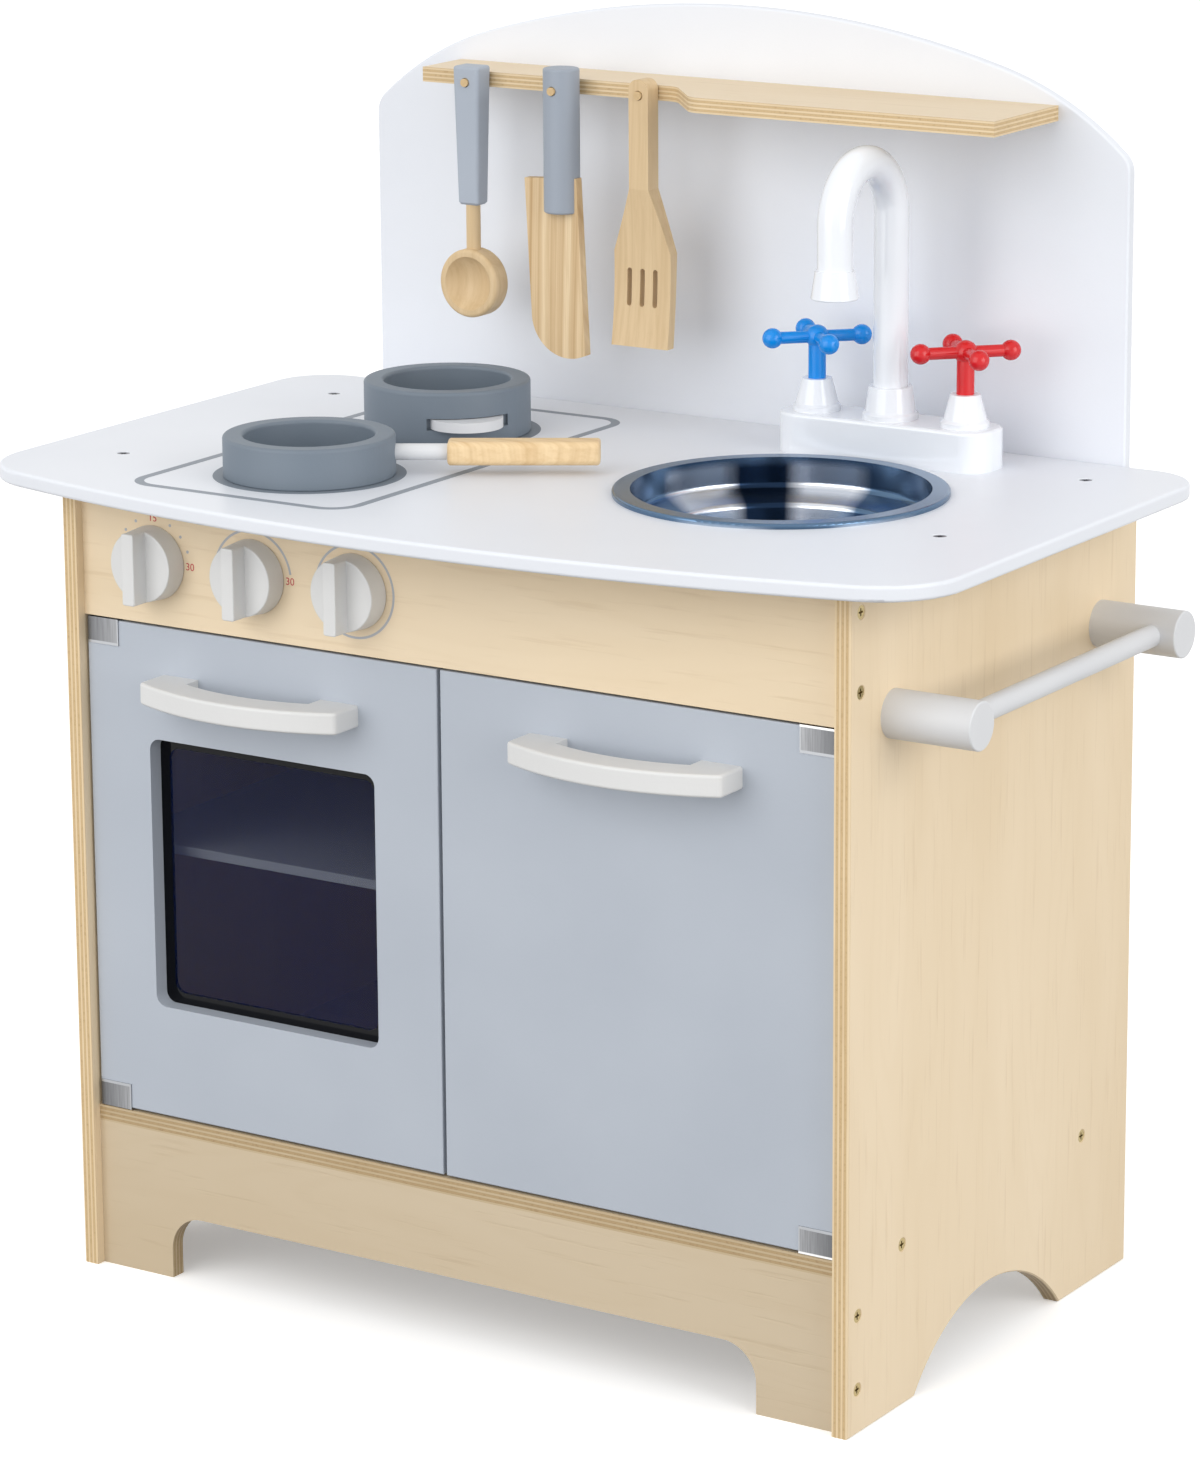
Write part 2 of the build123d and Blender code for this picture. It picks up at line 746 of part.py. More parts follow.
# Spatula: one piece of wood, its outline cut from the front and from the side
with BuildPart() as spatula:
    spatula_y = hanger_y - utensil_clearance - spatula_thickness / 2
    hang = Plane(origin=(spatula_x, spatula_y, peg_z + spatula_peg_drop), x_dir=right_way, z_dir=front_way)
    half_handle, half_head = spatula_handle_width / 2, spatula_head_width / 2
    with BuildSketch(hang) as spatula_outline:
        with BuildLine():
            Polyline(
                (-half_handle, 0),
                (half_handle, 0),
                (half_handle, -spatula_neck),
                (half_head, -spatula_neck - spatula_flare),
                (half_head, -spatula_length),
                (-half_head, -spatula_length),
                (-half_head, -spatula_neck - spatula_flare),
                (-half_handle, -spatula_neck),
                close=True,
            )
        make_face()
        rows = spatula_outline.vertices().group_by(Axis.Y)
        fillet(rows[3], spatula_top_round)
        fillet(rows[2], spatula_neck_round)
        fillet(rows[1], spatula_shoulder_round)
        fillet(rows[0], spatula_tip_round)
    extrude(amount=spatula_thickness, both=True)
    side_view = Plane(origin=hang.origin, x_dir=back_way, z_dir=right_way)
    half_thick = spatula_thickness / 2
    head_mid = -(spatula_neck + spatula_length) / 2
    with BuildSketch(side_view):
        with BuildLine():
            belly = ThreePointArc(
                (-half_thick, -spatula_neck),
                (-half_thick + spatula_head_dip, head_mid),
                (-half_thick, -spatula_length),
            )
            spine = ThreePointArc(
                (half_thick, -spatula_neck),
                (spatula_head_thickness - half_thick + spatula_head_dip, head_mid),
                (spatula_head_thickness - half_thick, -spatula_length),
            )
            Polyline(belly @ 0, (-half_thick, 0), (half_thick, 0), spine @ 0)
            Line(belly @ 1, spine @ 1)
        make_face()
    extrude(amount=spatula_head_width, both=True, mode=Mode.INTERSECT)
    with BuildSketch(hang):
        with Locations((0, -spatula_slot_drop - spatula_slot_length / 2)):
            with GridLocations(spatula_slot_pitch, 0, 3, 1):
                SlotOverall(spatula_slot_length, spatula_slot_width, rotation=90)
    extrude(amount=spatula_thickness, both=True, mode=Mode.SUBTRACT)
    with Locations(*facing(front_way, (spatula_x, spatula_y - half_thick, peg_z))):
        Hole(peg_radius + peg_clearance, depth=spatula_thickness)
spatula.part.label = "spatula"
export_step(spatula.part, "parts/spatula.step")


# Doors: painted boards, the left one with the oven's window
def door(side):
    """One door, -1 for the oven on the left and 1 for the cupboard."""
    left_edge, right_edge = door_span(side)
    with BuildPart() as leaf:
        slab((left_edge, face_y, door_bottom), (right_edge, door_back, door_top))
        fillet(leaf.faces().sort_by(Axis.Y)[0].edges(), edge_ease)
        for z, way in ((door_top, up_way), (door_bottom, down_way)):
            with Locations(*facing(way, (side * hinge_x, hinge_y, z))):
                Hole(pin_radius, depth=pin_grip)
        screw_holes(handle_planes(side), short_length)
        if side < 0:
            with BuildSketch(Plane(origin=window_centre, x_dir=right_way, z_dir=front_way)):
                RectangleRounded(window_width, window_height, window_corner)
            extrude(amount=-door_thickness, mode=Mode.SUBTRACT)
            screw_holes(pane_planes, pane_screw_length, pane_head_radius, pane_shank_radius)
    return leaf.part


window_centre = (door_middle(-1), face_y, (door_top + door_bottom) / 2)
pane_width, pane_height = window_width + 2 * pane_lap, window_height + 2 * pane_lap
pane_back = door_back + pane_thickness
pane_reach_x, pane_reach_z = (window_width + pane_lap) / 2, (window_height + pane_lap) / 2
pane_planes = facing(
    back_way,
    *[
        (window_centre[0] + sx * pane_reach_x, pane_back, window_centre[2] + sz * pane_reach_z)
        for sx in (-1, 1)
        for sz in (-1, 1)
    ],
)
left_door = door(-1)
left_door.label = "left_door"
export_step(left_door, "parts/left_door.step")
right_door = door(1)
right_door.label = "right_door"
export_step(right_door, "parts/right_door.step")

# Tinted pane behind the oven door's opening
with BuildPart() as oven_window:
    with BuildSketch(Plane((window_centre[0], door_back, window_centre[2]), x_dir=left_way, z_dir=back_way)):
        RectangleRounded(pane_width, pane_height, window_corner)
    extrude(amount=pane_thickness)
    screw_holes(pane_planes, pane_screw_length, pane_head_radius, pane_shank_radius)
oven_window.part.label = "oven_window"
export_step(oven_window.part, "parts/oven_window.step")
pane_screws = screws(pane_planes, pane_screw_length, pane_head_radius, pane_shank_radius)
pane_screws.label = "pane_screws"
export_step(pane_screws, "parts/pane_screws.step")


# Bow handles, cut out behind for the fingers
def door_handle(side):
    """The handle of one door, drawn in plan and stood up by its height."""
    half, foot_x = handle_length / 2, handle_length / 2 - handle_foot
    seat = Plane(origin=(door_middle(side), face_y, handle_z - handle_height / 2))
    gap_depth = handle_end_depth + handle_bow - handle_grip
    with BuildPart() as handle:
        with BuildSketch(seat):
            with BuildLine():
                outer = ThreePointArc(
                    (-half, -handle_end_depth),
                    (0, -handle_end_depth - handle_bow),
                    (half, -handle_end_depth),
                )
                Polyline(outer @ 1, (half, 0), (-half, 0), outer @ 0)
            make_face()
        extrude(amount=handle_height)
        fillet(handle.edges().filter_by(Axis.Z).group_by(Axis.Y)[0], handle_edge_round * 2)
        with BuildSketch(seat) as gap:
            with BuildLine():
                inner = ThreePointArc(
                    (-foot_x, -handle_gap_side), (0, -gap_depth), (foot_x, -handle_gap_side)
                )
                Polyline(inner @ 1, (foot_x, 0), (-foot_x, 0), inner @ 0)
            make_face()
            gap_corners = [v for v in gap.vertices() if v.Y < face_y - edge_ease]
            fillet(gap_corners, handle_gap_round)
        extrude(amount=handle_height, mode=Mode.SUBTRACT)
        rims = handle.faces().filter_by(Axis.Z)
        fillet([edge for rim in rims for edge in rim.edges().sort_by(Axis.Y)[:3]], handle_edge_round)
        screw_holes(handle_planes(side), short_length)
    return handle.part


for side, name in ((-1, "left_door_handle"), (1, "right_door_handle")):
    handle_part = door_handle(side)
    handle_part.label = name
    export_step(handle_part, f"parts/{name}.step")
    handle_screws = screws(handle_planes(side), short_length)
    handle_screws.label = f"{name}_screws"
    export_step(handle_screws, f"parts/{name}_screws.step")


# Steel corner clips and the pivot pins that the doors turn on
def hinge_clips(side):
    """Two folded clips over the door's outer corners, bored for the pins."""
    outer_x = side * (half_inner - door_gap - clip_inset)
    low_x = min(outer_x, outer_x - side * clip_width)
    with BuildPart() as clips:
        for edge_z, into in ((door_top, -1), (door_bottom, 1)):
            with BuildSketch(Plane.YZ.offset(low_x)):
                with Locations((hinge_y, edge_z + into * (clip_height - clip_sheet) / 2)):
                    Rectangle(door_thickness + 2 * clip_sheet, clip_height + clip_sheet)
                with Locations((hinge_y, edge_z + into * clip_height / 2)):
                    Rectangle(door_thickness, clip_height, mode=Mode.SUBTRACT)
            extrude(amount=clip_width)
        with Locations(*facing(up_way, (side * hinge_x, hinge_y, door_top + clip_sheet))):
            Hole(pin_radius, depth=door_top - door_bottom + 2 * clip_sheet)
    return clips.part


def hinge_pins(side):
    """The upper and the lower pin of one door."""
    with BuildPart() as pins:
        for edge_z, seat_z, out in ((door_top, fascia_underside, 1), (door_bottom, board_top, -1)):
            with BuildSketch(Plane(origin=(side * hinge_x, hinge_y, edge_z - out * pin_grip))):
                Circle(pin_radius)
            extrude(amount=seat_z + out * pin_seat - edge_z + out * pin_grip)
    return pins.part


def strike_plate(side):
    """The steel plate on a door's back that the magnet pulls."""
    x = door_split + side * (ply / 2 + catch_width / 2)
    with BuildPart() as strike:
        slab(
            (x - strike_width / 2, door_back, catch_z - strike_height / 2),
            (x + strike_width / 2, door_back + strike_thickness, catch_z + strike_height / 2),
        )
    return strike.part


catch_z = fascia_underside - catch_height / 2
for side, name in ((-1, "left_door"), (1, "right_door")):
    for piece, ending in ((hinge_clips, "clips"), (hinge_pins, "pins"), (strike_plate, "strike")):
        fitting = piece(side)
        fitting.label = f"{name}_{ending}"
        export_step(fitting, f"parts/{name}_{ending}.step")

# Magnetic catches: two blocks on the divider, each with a round magnet
catch_front = door_back + strike_thickness + strike_gap
with BuildPart() as catch_blocks:
    for side in (-1, 1):
        near = door_split + side * ply / 2
        far = near + side * catch_width
        slab(
            (min(near, far), catch_front, fascia_underside - catch_height),
            (max(near, far), catch_front + catch_depth, fascia_underside),
        )
    catch_spots = [
        (door_split + side * (ply + catch_width) / 2, catch_front, catch_z) for side in (-1, 1)
    ]
    with Locations(*facing(front_way, *catch_spots)):
        Hole(magnet_radius, depth=magnet_depth)
catch_blocks.part.label = "catch_blocks"
export_step(catch_blocks.part, "parts/catch_blocks.step")

with BuildPart() as catch_magnets:
    for spot in catch_spots:
        with BuildSketch(Plane(origin=spot, z_dir=front_way)):
            Circle(magnet_radius)
        extrude(amount=-magnet_depth)
catch_magnets.part.label = "catch_magnets"
export_step(catch_magnets.part, "parts/catch_magnets.step")


# Knobs: a tapered skirt with a thick grip bar, on a spindle through the fascia
def knob(x):
    """One knob, turning on the axis through its middle."""
    seat = Plane(origin=(x, face_y - knob_gap, knob_z), x_dir=right_way, z_dir=front_way)
    with BuildPart() as turned:
        with Locations(seat):
            Cone(
                knob_base_radius,
                knob_face_radius,
                knob_skirt,
                align=(Align.CENTER, Align.CENTER, Align.MIN),
            )
        fillet(turned.faces().sort_by(Axis.Y)[0].edges(), edge_ease)
        with BuildSketch(seat):
            RectangleRounded(knob_bar_width, 2 * knob_face_radius, knob_bar_width / 6)
        extrude(amount=knob_skirt + knob_bar_proud)
        fillet(turned.faces().sort_by(Axis.Y)[0].edges(), edge_ease)
        with Locations(*facing(back_way, (x, face_y - knob_gap, knob_z))):
            Hole(spindle_radius, depth=spindle_seat)
    return turned.part


def knob_spindle(x):
    """The knob's spindle with its retaining flange behind the fascia."""
    flange_y = face_y + ply + flange_gap
    with BuildPart() as spindle:
        with BuildSketch(Plane(origin=(x, face_y - knob_gap - spindle_seat, knob_z), z_dir=back_way)):
            Circle(spindle_radius)
        extrude(amount=spindle_seat + knob_gap + ply + flange_gap)
        with BuildSketch(Plane(origin=(x, flange_y, knob_z), z_dir=back_way)):
            Circle(flange_radius)
        extrude(amount=flange_thickness)
    return spindle.part


for x, name in zip(knob_xs, ("knob_left", "knob_middle", "knob_right")):
    knob_part, spindle_part = knob(x), knob_spindle(x)
    knob_part.label = name
    spindle_part.label = f"{name}_spindle"
    export_step(knob_part, f"parts/{name}.step")
    export_step(spindle_part, f"parts/{name}_spindle.step")


# Sink bowl: pressed steel with a rolled rim and a step part of the way down
def bowl_form(inset, lift):
    """The bowl's outline turned solid, drawn in by the sheet for the inside."""
    shoulder = sink_step_depth + sink_step_drop
    with BuildSketch(Plane(origin=(sink_x, sink_y, worktop_top), x_dir=right_way, z_dir=front_way)) as form:
        with BuildLine():
            Polyline(
                (0, lift),
                (sink_wall_radius - inset, lift),
                (sink_wall_radius - inset, -sink_step_depth),
                (sink_well_radius - inset, -shoulder),
                (sink_well_radius - inset - sink_step_drop / 2, inset - sink_depth),
                (0, inset - sink_depth),
                close=True,
            )
        make_face()
        bends = [v for v in form.vertices() if v.X > edge_ease and v.Y < -edge_ease]
        fillet(bends, sink_step_drop / 2)
    return form.sketch


with BuildPart() as sink_bowl:
    sink_axis = Axis((sink_x, sink_y, 0), (0, 0, 1))
    revolve(bowl_form(0, sink_rim_height), axis=sink_axis)
    with BuildSketch(Plane.XY.offset(worktop_top)):
        with Locations((sink_x, sink_y)):
            Circle(sink_rim_radius)
    extrude(amount=sink_rim_height)
    rim_edges = sink_bowl.faces().sort_by(Axis.Z)[-1].edges()
    fillet(rim_edges, sink_rim_height / 2)
    revolve(bowl_form(sink_sheet, sink_rim_height), axis=sink_axis, mode=Mode.SUBTRACT)
sink_bowl.part.label = "sink_bowl"
export_step(sink_bowl.part, "parts/sink_bowl.step")

# Tap block, its two bonnets and the spout's collar
tap_xs = (faucet_x - tap_pitch, faucet_x + tap_pitch)
with BuildPart() as faucet_base:
    with BuildSketch(Plane(origin=(faucet_x, faucet_y, worktop_top))):
        RectangleRounded(faucet_length, faucet_width, faucet_corner)
    extrude(amount=faucet_height)
    fillet(faucet_base.faces().sort_by(Axis.Z)[-1].edges(), worktop_edge_round)
    screw_holes(faucet_planes, short_length)
faucet_base.part.label = "faucet_base"
export_step(faucet_base.part, "parts/faucet_base.step")


def bonnet(x, base_radius, top_radius, bore_radius):
    """A short skirt and a cone that a stem or the spout turns in."""
    with BuildPart() as cone:
        with BuildSketch(Plane(origin=(x, faucet_y, faucet_top), x_dir=right_way, z_dir=front_way)):
            with BuildLine():
                Polyline(
                    (0, 0),
                    (base_radius, 0),
                    (base_radius, bonnet_skirt),
                    (base_radius - bonnet_skirt / 2, bonnet_skirt * 1.5),
                    (top_radius, bonnet_height),
                    (0, bonnet_height),
                    close=True,
                )
            make_face()
        revolve(axis=Axis((x, faucet_y, 0), (0, 0, 1)))
        with Locations(*facing(up_way, (x, faucet_y, faucet_top + bonnet_height))):
            Hole(bore_radius + running_clearance, depth=bonnet_height)
    return cone.part


with BuildPart() as tap_bonnets:
    for x in tap_xs:
        add(bonnet(x, bonnet_base_radius, bonnet_top_radius, stem_radius))
tap_bonnets.part.label = "tap_bonnets"
export_step(tap_bonnets.part, "parts/tap_bonnets.step")
spout_collar = bonnet(faucet_x, collar_base_radius, collar_top_radius, spout_radius)
spout_collar.label = "spout_collar"
export_step(spout_collar, "parts/spout_collar.step")


# Tap handles: a stem with four arms, each ending in a ball
def tap_handle(x):
    """One cross handle, its arms at 45 degrees to the worktop's edges."""
    stem_foot = faucet_top + bonnet_height - stem_seat
    hub = (x, faucet_y, faucet_top + bonnet_height + tap_hub_rise)
    with BuildPart() as cross:
        with BuildSketch(Plane(origin=(x, faucet_y, stem_foot))):
            Circle(stem_radius)
        extrude(amount=hub[2] - stem_foot)
        with Locations(hub):
            Sphere(tap_hub_radius)
        for angle in (45, 135):
            along = (cos(radians(angle)), sin(radians(angle)), 0)
            with BuildSketch(Plane(origin=hub, z_dir=along)):
                Circle(tap_arm_radius)
            extrude(amount=tap_arm_reach, both=True)
        with Locations(Plane(origin=hub)):
            with PolarLocations(tap_arm_reach, 4, start_angle=45):
                Sphere(tap_ball_radius)
    return cross.part


for x, name in zip(tap_xs, ("cold_tap_handle", "hot_tap_handle")):
    handle_part = tap_handle(x)
    handle_part.label = name
    export_step(handle_part, f"parts/{name}.step")

# Swivelling spout: a riser, a half-circle towards the sink and a short drop
spout_foot = faucet_top + spout_floor_gap
arch_z = shelf_underside - spout_shelf_gap - spout_radius - spout_reach / 2
outlet_y = faucet_y - spout_reach
with BuildPart() as spout:
    with BuildLine() as spout_path:
        riser = Line((faucet_x, faucet_y, spout_foot), (faucet_x, faucet_y, arch_z))
        arch = ThreePointArc(
            riser @ 1,
            (faucet_x, faucet_y - spout_reach / 2, arch_z + spout_reach / 2),
            (faucet_x, outlet_y, arch_z),
        )
        Line(arch @ 1, (faucet_x, outlet_y, arch_z - spout_drop))
    with BuildSketch(Plane(origin=(faucet_x, faucet_y, spout_foot))):
        Circle(spout_radius)
    sweep(path=spout_path.wire())
spout.part.label = "spout"
export_step(spout.part, "parts/spout.step")

with BuildPart() as spout_nozzle:
    with Locations((faucet_x, outlet_y, arch_z - spout_drop)):
        Cone(
            nozzle_mouth_radius,
            nozzle_top_radius,
            nozzle_height,
            align=(Align.CENTER, Align.CENTER, Align.MAX),
        )
    fillet(spout_nozzle.edges().group_by(Axis.Z)[0], edge_ease)
    mouth_z = arch_z - spout_drop - nozzle_height
    with Locations(*facing(down_way, (faucet_x, outlet_y, mouth_z))):
        Hole(nozzle_mouth_radius - nozzle_lip, depth=nozzle_recess)
spout_nozzle.part.label = "spout_nozzle"
export_step(spout_nozzle.part, "parts/spout_nozzle.step")

# Frying pan: a thick wooden ring with a floor, a white rod and a wooden grip
pan_along = (cos(radians(pan_handle_angle)), sin(radians(pan_handle_angle)), 0)
pan_centre = Vector(pan_x, front + pan_setback, worktop_top)


def pan_point(reach, rise):
    """A point along the pan's handle line, by its reach and its height."""
    return pan_centre + Vector(*pan_along) * reach + Vector(0, 0, rise)


def pan_body(centre, height):
    """A round pan body turned from wood, with a flat floor, in the open part."""
    with Locations(centre):
        Cylinder(pan_radius, height, align=(Align.CENTER, Align.CENTER, Align.MIN))
    with Locations(centre + Vector(0, 0, height)):
        Hole(pan_radius - pan_wall, depth=height - pan_floor)


rod_root = pan_radius - pan_rod_seat
grip_root = pan_radius + pan_rod_length
with BuildPart() as frying_pan:
    pan_body(pan_centre, pan_height)
    fillet(frying_pan.faces().sort_by(Axis.Z)[-1].edges(), pan_round)
    fillet(frying_pan.edges().group_by(Axis.Z)[0], pan_round / 2)
    with BuildSketch(Plane(origin=pan_point(rod_root, pan_rod_rise), z_dir=pan_along)):
        Circle(pan_rod_radius)
    extrude(amount=pan_rod_seat * 2, mode=Mode.SUBTRACT)
frying_pan.part.label = "frying_pan"
export_step(frying_pan.part, "parts/frying_pan.step")

with BuildPart() as pan_rod:
    with BuildSketch(Plane(origin=pan_point(rod_root, pan_rod_rise), z_dir=pan_along)):
        Circle(pan_rod_radius)
    extrude(amount=pan_rod_seat + pan_rod_length + pan_grip_seat)
pan_rod.part.label = "pan_rod"
export_step(pan_rod.part, "parts/pan_rod.step")

with BuildPart() as pan_grip:
    across = (-pan_along[1], pan_along[0], 0)
    with BuildSketch(Plane(origin=pan_point(grip_root, pan_rod_rise), x_dir=across, z_dir=pan_along)):
        RectangleRounded(pan_grip_width, pan_grip_height, pan_grip_round)
    extrude(amount=pan_grip_length)
    grip_ends = pan_grip.faces().sort_by(Axis(pan_centre, pan_along))
    fillet(grip_ends[-1].edges() + grip_ends[0].edges(), pan_round)
    with BuildSketch(Plane(origin=pan_point(grip_root, pan_rod_rise), z_dir=pan_along)):
        Circle(pan_rod_radius)
    extrude(amount=pan_grip_seat, mode=Mode.SUBTRACT)
pan_grip.part.label = "pan_grip"
export_step(pan_grip.part, "parts/pan_grip.step")

# Cooking pot: the same ring, taller, with two half-round handles let in
pot_centre = Vector(pot_x, front + pot_setback, worktop_top)
pot_turns = [
    Plane(
        origin=pot_centre + Vector(0, 0, pot_handle_rise),
        x_dir=(cos(radians(angle)), sin(radians(angle)), 0),
    )
    for angle in (pot_handle_angle, pot_handle_angle + 180)
]
slot_root = pan_radius - pot_slot_depth
with BuildPart() as cooking_pot:
    pan_body(pot_centre, pot_height)
    fillet(cooking_pot.faces().sort_by(Axis.Z)[-1].edges(), pan_round)
    fillet(cooking_pot.edges().group_by(Axis.Z)[0], pan_round / 2)
    for turn in pot_turns:
        with BuildSketch(turn):
            with Locations((slot_root + pot_slot_depth, 0)):
                Rectangle(2 * pot_slot_depth, pot_slot_length)
        extrude(amount=pot_slot_height / 2, both=True, mode=Mode.SUBTRACT)
cooking_pot.part.label = "cooking_pot"
export_step(cooking_pot.part, "parts/cooking_pot.step")

with BuildPart() as pot_handles:
    for turn in pot_turns:
        with BuildSketch(turn):
            with BuildLine():
                rim = ThreePointArc(
                    (slot_root, -pot_handle_radius),
                    (slot_root + pot_handle_radius, 0),
                    (slot_root, pot_handle_radius),
                )
                Line(rim @ 1, rim @ 0)
            make_face()
        extrude(amount=pot_handle_thickness / 2, both=True)
pot_handles.part.label = "pot_handles"
export_step(pot_handles.part, "parts/pot_handles.step")

# Towel rail on the right-hand side: two turned posts and a rod between them
with BuildPart() as towel_posts:
    for y in post_spots:
        with BuildSketch(Plane(origin=(half_case, y, post_z), z_dir=right_way)):
            Circle(post_radius)
        extrude(amount=post_length)
    fillet(towel_posts.edges().filter_by(GeomType.CIRCLE).group_by(Axis.X)[-1], post_round)
    rod_start = post_spots[0] + post_radius - towel_rod_seat
    rod_end = post_spots[1] - post_radius + towel_rod_seat
    rod_plane = Plane(origin=(half_case + towel_rod_offset, rod_start, post_z), z_dir=back_way)
    with BuildSketch(rod_plane):
        Circle(towel_rod_radius)
    extrude(amount=rod_end - rod_start, mode=Mode.SUBTRACT)
    screw_holes(post_planes, screw_length)
towel_posts.part.label = "towel_posts"
export_step(towel_posts.part, "parts/towel_posts.step")

with BuildPart() as towel_rod:
    with BuildSketch(rod_plane):
        Circle(towel_rod_radius)
    extrude(amount=rod_end - rod_start)
towel_rod.part.label = "towel_rod"
export_step(towel_rod.part, "parts/towel_rod.step")

# Screws that hold the case, the worktop, the taps and the boards at the back
screw_groups = (
    ("side_screws", left_planes + right_planes + post_planes, screw_length),
    ("worktop_screws", worktop_planes, screw_length),
    ("faucet_screws", faucet_planes, short_length),
    ("rear_screws", splash_planes + shelf_planes + back_planes, back_length),
)
for name, planes, length in screw_groups:
    group_part = screws(planes, length)
    group_part.label = name
    export_step(group_part, f"parts/{name}.step")
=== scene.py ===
import math

import bmesh
import bpy
from mathutils import Matrix, Vector


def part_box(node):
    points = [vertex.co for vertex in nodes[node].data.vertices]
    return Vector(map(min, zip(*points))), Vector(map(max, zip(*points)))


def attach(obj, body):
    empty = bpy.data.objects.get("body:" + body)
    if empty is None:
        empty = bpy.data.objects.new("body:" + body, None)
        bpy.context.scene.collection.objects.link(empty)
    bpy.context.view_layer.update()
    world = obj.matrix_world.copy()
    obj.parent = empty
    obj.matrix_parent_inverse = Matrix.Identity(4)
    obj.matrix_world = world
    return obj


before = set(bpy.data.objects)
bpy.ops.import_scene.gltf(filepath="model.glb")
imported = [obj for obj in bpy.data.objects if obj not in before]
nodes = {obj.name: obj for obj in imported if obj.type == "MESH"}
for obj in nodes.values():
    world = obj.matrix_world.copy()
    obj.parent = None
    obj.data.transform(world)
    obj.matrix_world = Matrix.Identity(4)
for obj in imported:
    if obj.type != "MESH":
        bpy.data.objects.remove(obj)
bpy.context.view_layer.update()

# Camera at the photograph's viewing angle, in front and to the right of the kitchen, a
# little above it. The place is in metres, the turns in radians, and the focal length and
# the small shift are in pixels of a 1200 x 1476 picture.
picture_height = 1476
focal_pixels = 5212.6
shift_pixels = -132.8
camera_place = Vector((1.6043, -2.4612, 1.1094))
camera_yaw, camera_pitch, camera_roll = 0.5723, -0.2334, -0.0067
camera_data = bpy.data.cameras.new("camera")
camera_data.lens = camera_data.sensor_width * focal_pixels / picture_height
camera_data.shift_y = shift_pixels / picture_height
camera = bpy.data.objects.new("camera", camera_data)
bpy.context.scene.collection.objects.link(camera)
camera.matrix_world = (
    Matrix.Translation(camera_place)
    @ Matrix.Rotation(camera_yaw, 4, "Z")
    @ Matrix.Rotation(math.radians(90) + camera_pitch, 4, "X")
    @ Matrix.Rotation(camera_roll, 4, "Z")
)
bpy.context.scene.camera = camera


# Plywood case: side panels, fascia, plinth, bottom board, divider, back rail and back
# panel, all cut from birch plywood, lacquered clear, with the layers bare at every edge.
def srgb(red, green, blue):
    """A colour given in parts of 255, as the linear colour that a shader takes."""
    parts = [part / 255 for part in (red, green, blue)]
    linear = [((p + 0.055) / 1.055) ** 2.4 if p > 0.04045 else p / 12.92 for p in parts]
    return (*linear, 1.0)


def put(tree, kind, wires=None, **settings):
    """A shader node with its settings. wires maps an input to a value or to a node's output."""
    node = tree.nodes.new("ShaderNode" + kind)
    for name, value in settings.items():
        setattr(node, name, value)
    for socket, value in (wires or {}).items():
        if isinstance(value, bpy.types.NodeSocket):
            tree.links.new(value, node.inputs[socket])
        else:
            node.inputs[socket].default_value = value
    return node


def calc(tree, operation, *values):
    """The result of one Math node."""
    return put(tree, "Math", dict(enumerate(values)), operation=operation).outputs[0]


def vector_calc(tree, operation, *values):
    """The result of one Vector Math node: a number for a length or a dot product, else a vector."""
    node = put(tree, "VectorMath", dict(enumerate(values)), operation=operation)
    return node.outputs["Value" if operation in ("LENGTH", "DOT_PRODUCT") else "Vector"]


def spread(tree, value, low, high, new_low=0.0, new_high=1.0):
    """A value taken from one range to another and held inside it."""
    wires = {"Value": value, "From Min": low, "From Max": high}
    wires |= {"To Min": new_low, "To Max": new_high}
    return put(tree, "MapRange", wires).outputs["Result"]


def blend_colours(tree, factor, first, second, how="MIX"):
    """The mix of two colours."""
    node = put(tree, "Mix", {0: factor, 6: first, 7: second}, data_type="RGBA", blend_type=how)
    return node.outputs[2]


def noise(tree, place, scale, detail=2.0, roughness=0.5, stretch=(1, 1, 1), shift=(0, 0, 0)):
    """Noise from 0 to 1 over a place that is stretched and shifted first."""
    moved = put(tree, "Mapping", {"Vector": place, "Scale": stretch, "Location": shift})
    wires = {"Vector": moved.outputs[0], "Scale": scale, "Detail": detail, "Roughness": roughness}
    return put(tree, "TexNoise", wires).outputs["Fac"]


def new_group(name, **inputs):
    """An empty node group that puts out a colour, a roughness and a height, and its two ends."""
    group = bpy.data.node_groups.new(name, "ShaderNodeTree")
    outputs = {"Color": "Color", "Roughness": "Float", "Height": "Float"}
    for direction, sockets in (("INPUT", inputs), ("OUTPUT", outputs)):
        for label, kind in sockets.items():
            group.interface.new_socket(label, in_out=direction, socket_type="NodeSocket" + kind)
    start, end = group.nodes.new("NodeGroupInput"), group.nodes.new("NodeGroupOutput")
    return group, start.outputs, end.inputs


def use_group(tree, group, **wires):
    """A node group placed in a material with its values."""
    node = tree.nodes.new("ShaderNodeGroup")
    node.node_tree = group
    for label, value in wires.items():
        if isinstance(value, bpy.types.NodeSocket):
            tree.links.new(value, node.inputs[label])
        else:
            node.inputs[label].default_value = value
    return node.outputs


def new_material(name, **constants):
    """A material and its shader, with the shader's constant sockets set."""
    material = bpy.data.materials.new(name)
    material.use_nodes = True
    shader = material.node_tree.nodes["Principled BSDF"]
    for label, value in constants.items():
        shader.inputs[label.replace("_", " ")].default_value = value
    return material, material.node_tree, shader


def finish_shader(tree, shader, outputs, bump_depth):
    """Wire a group's colour, roughness and height to the shader."""
    tree.links.new(outputs["Color"], shader.inputs["Base Color"])
    tree.links.new(outputs["Roughness"], shader.inputs["Roughness"])
    wires = {"Height": outputs["Height"], "Distance": bump_depth, "Strength": 1.0}
    bump = put(tree, "Bump", wires)
    tree.links.new(bump.outputs["Normal"], shader.inputs["Normal"])


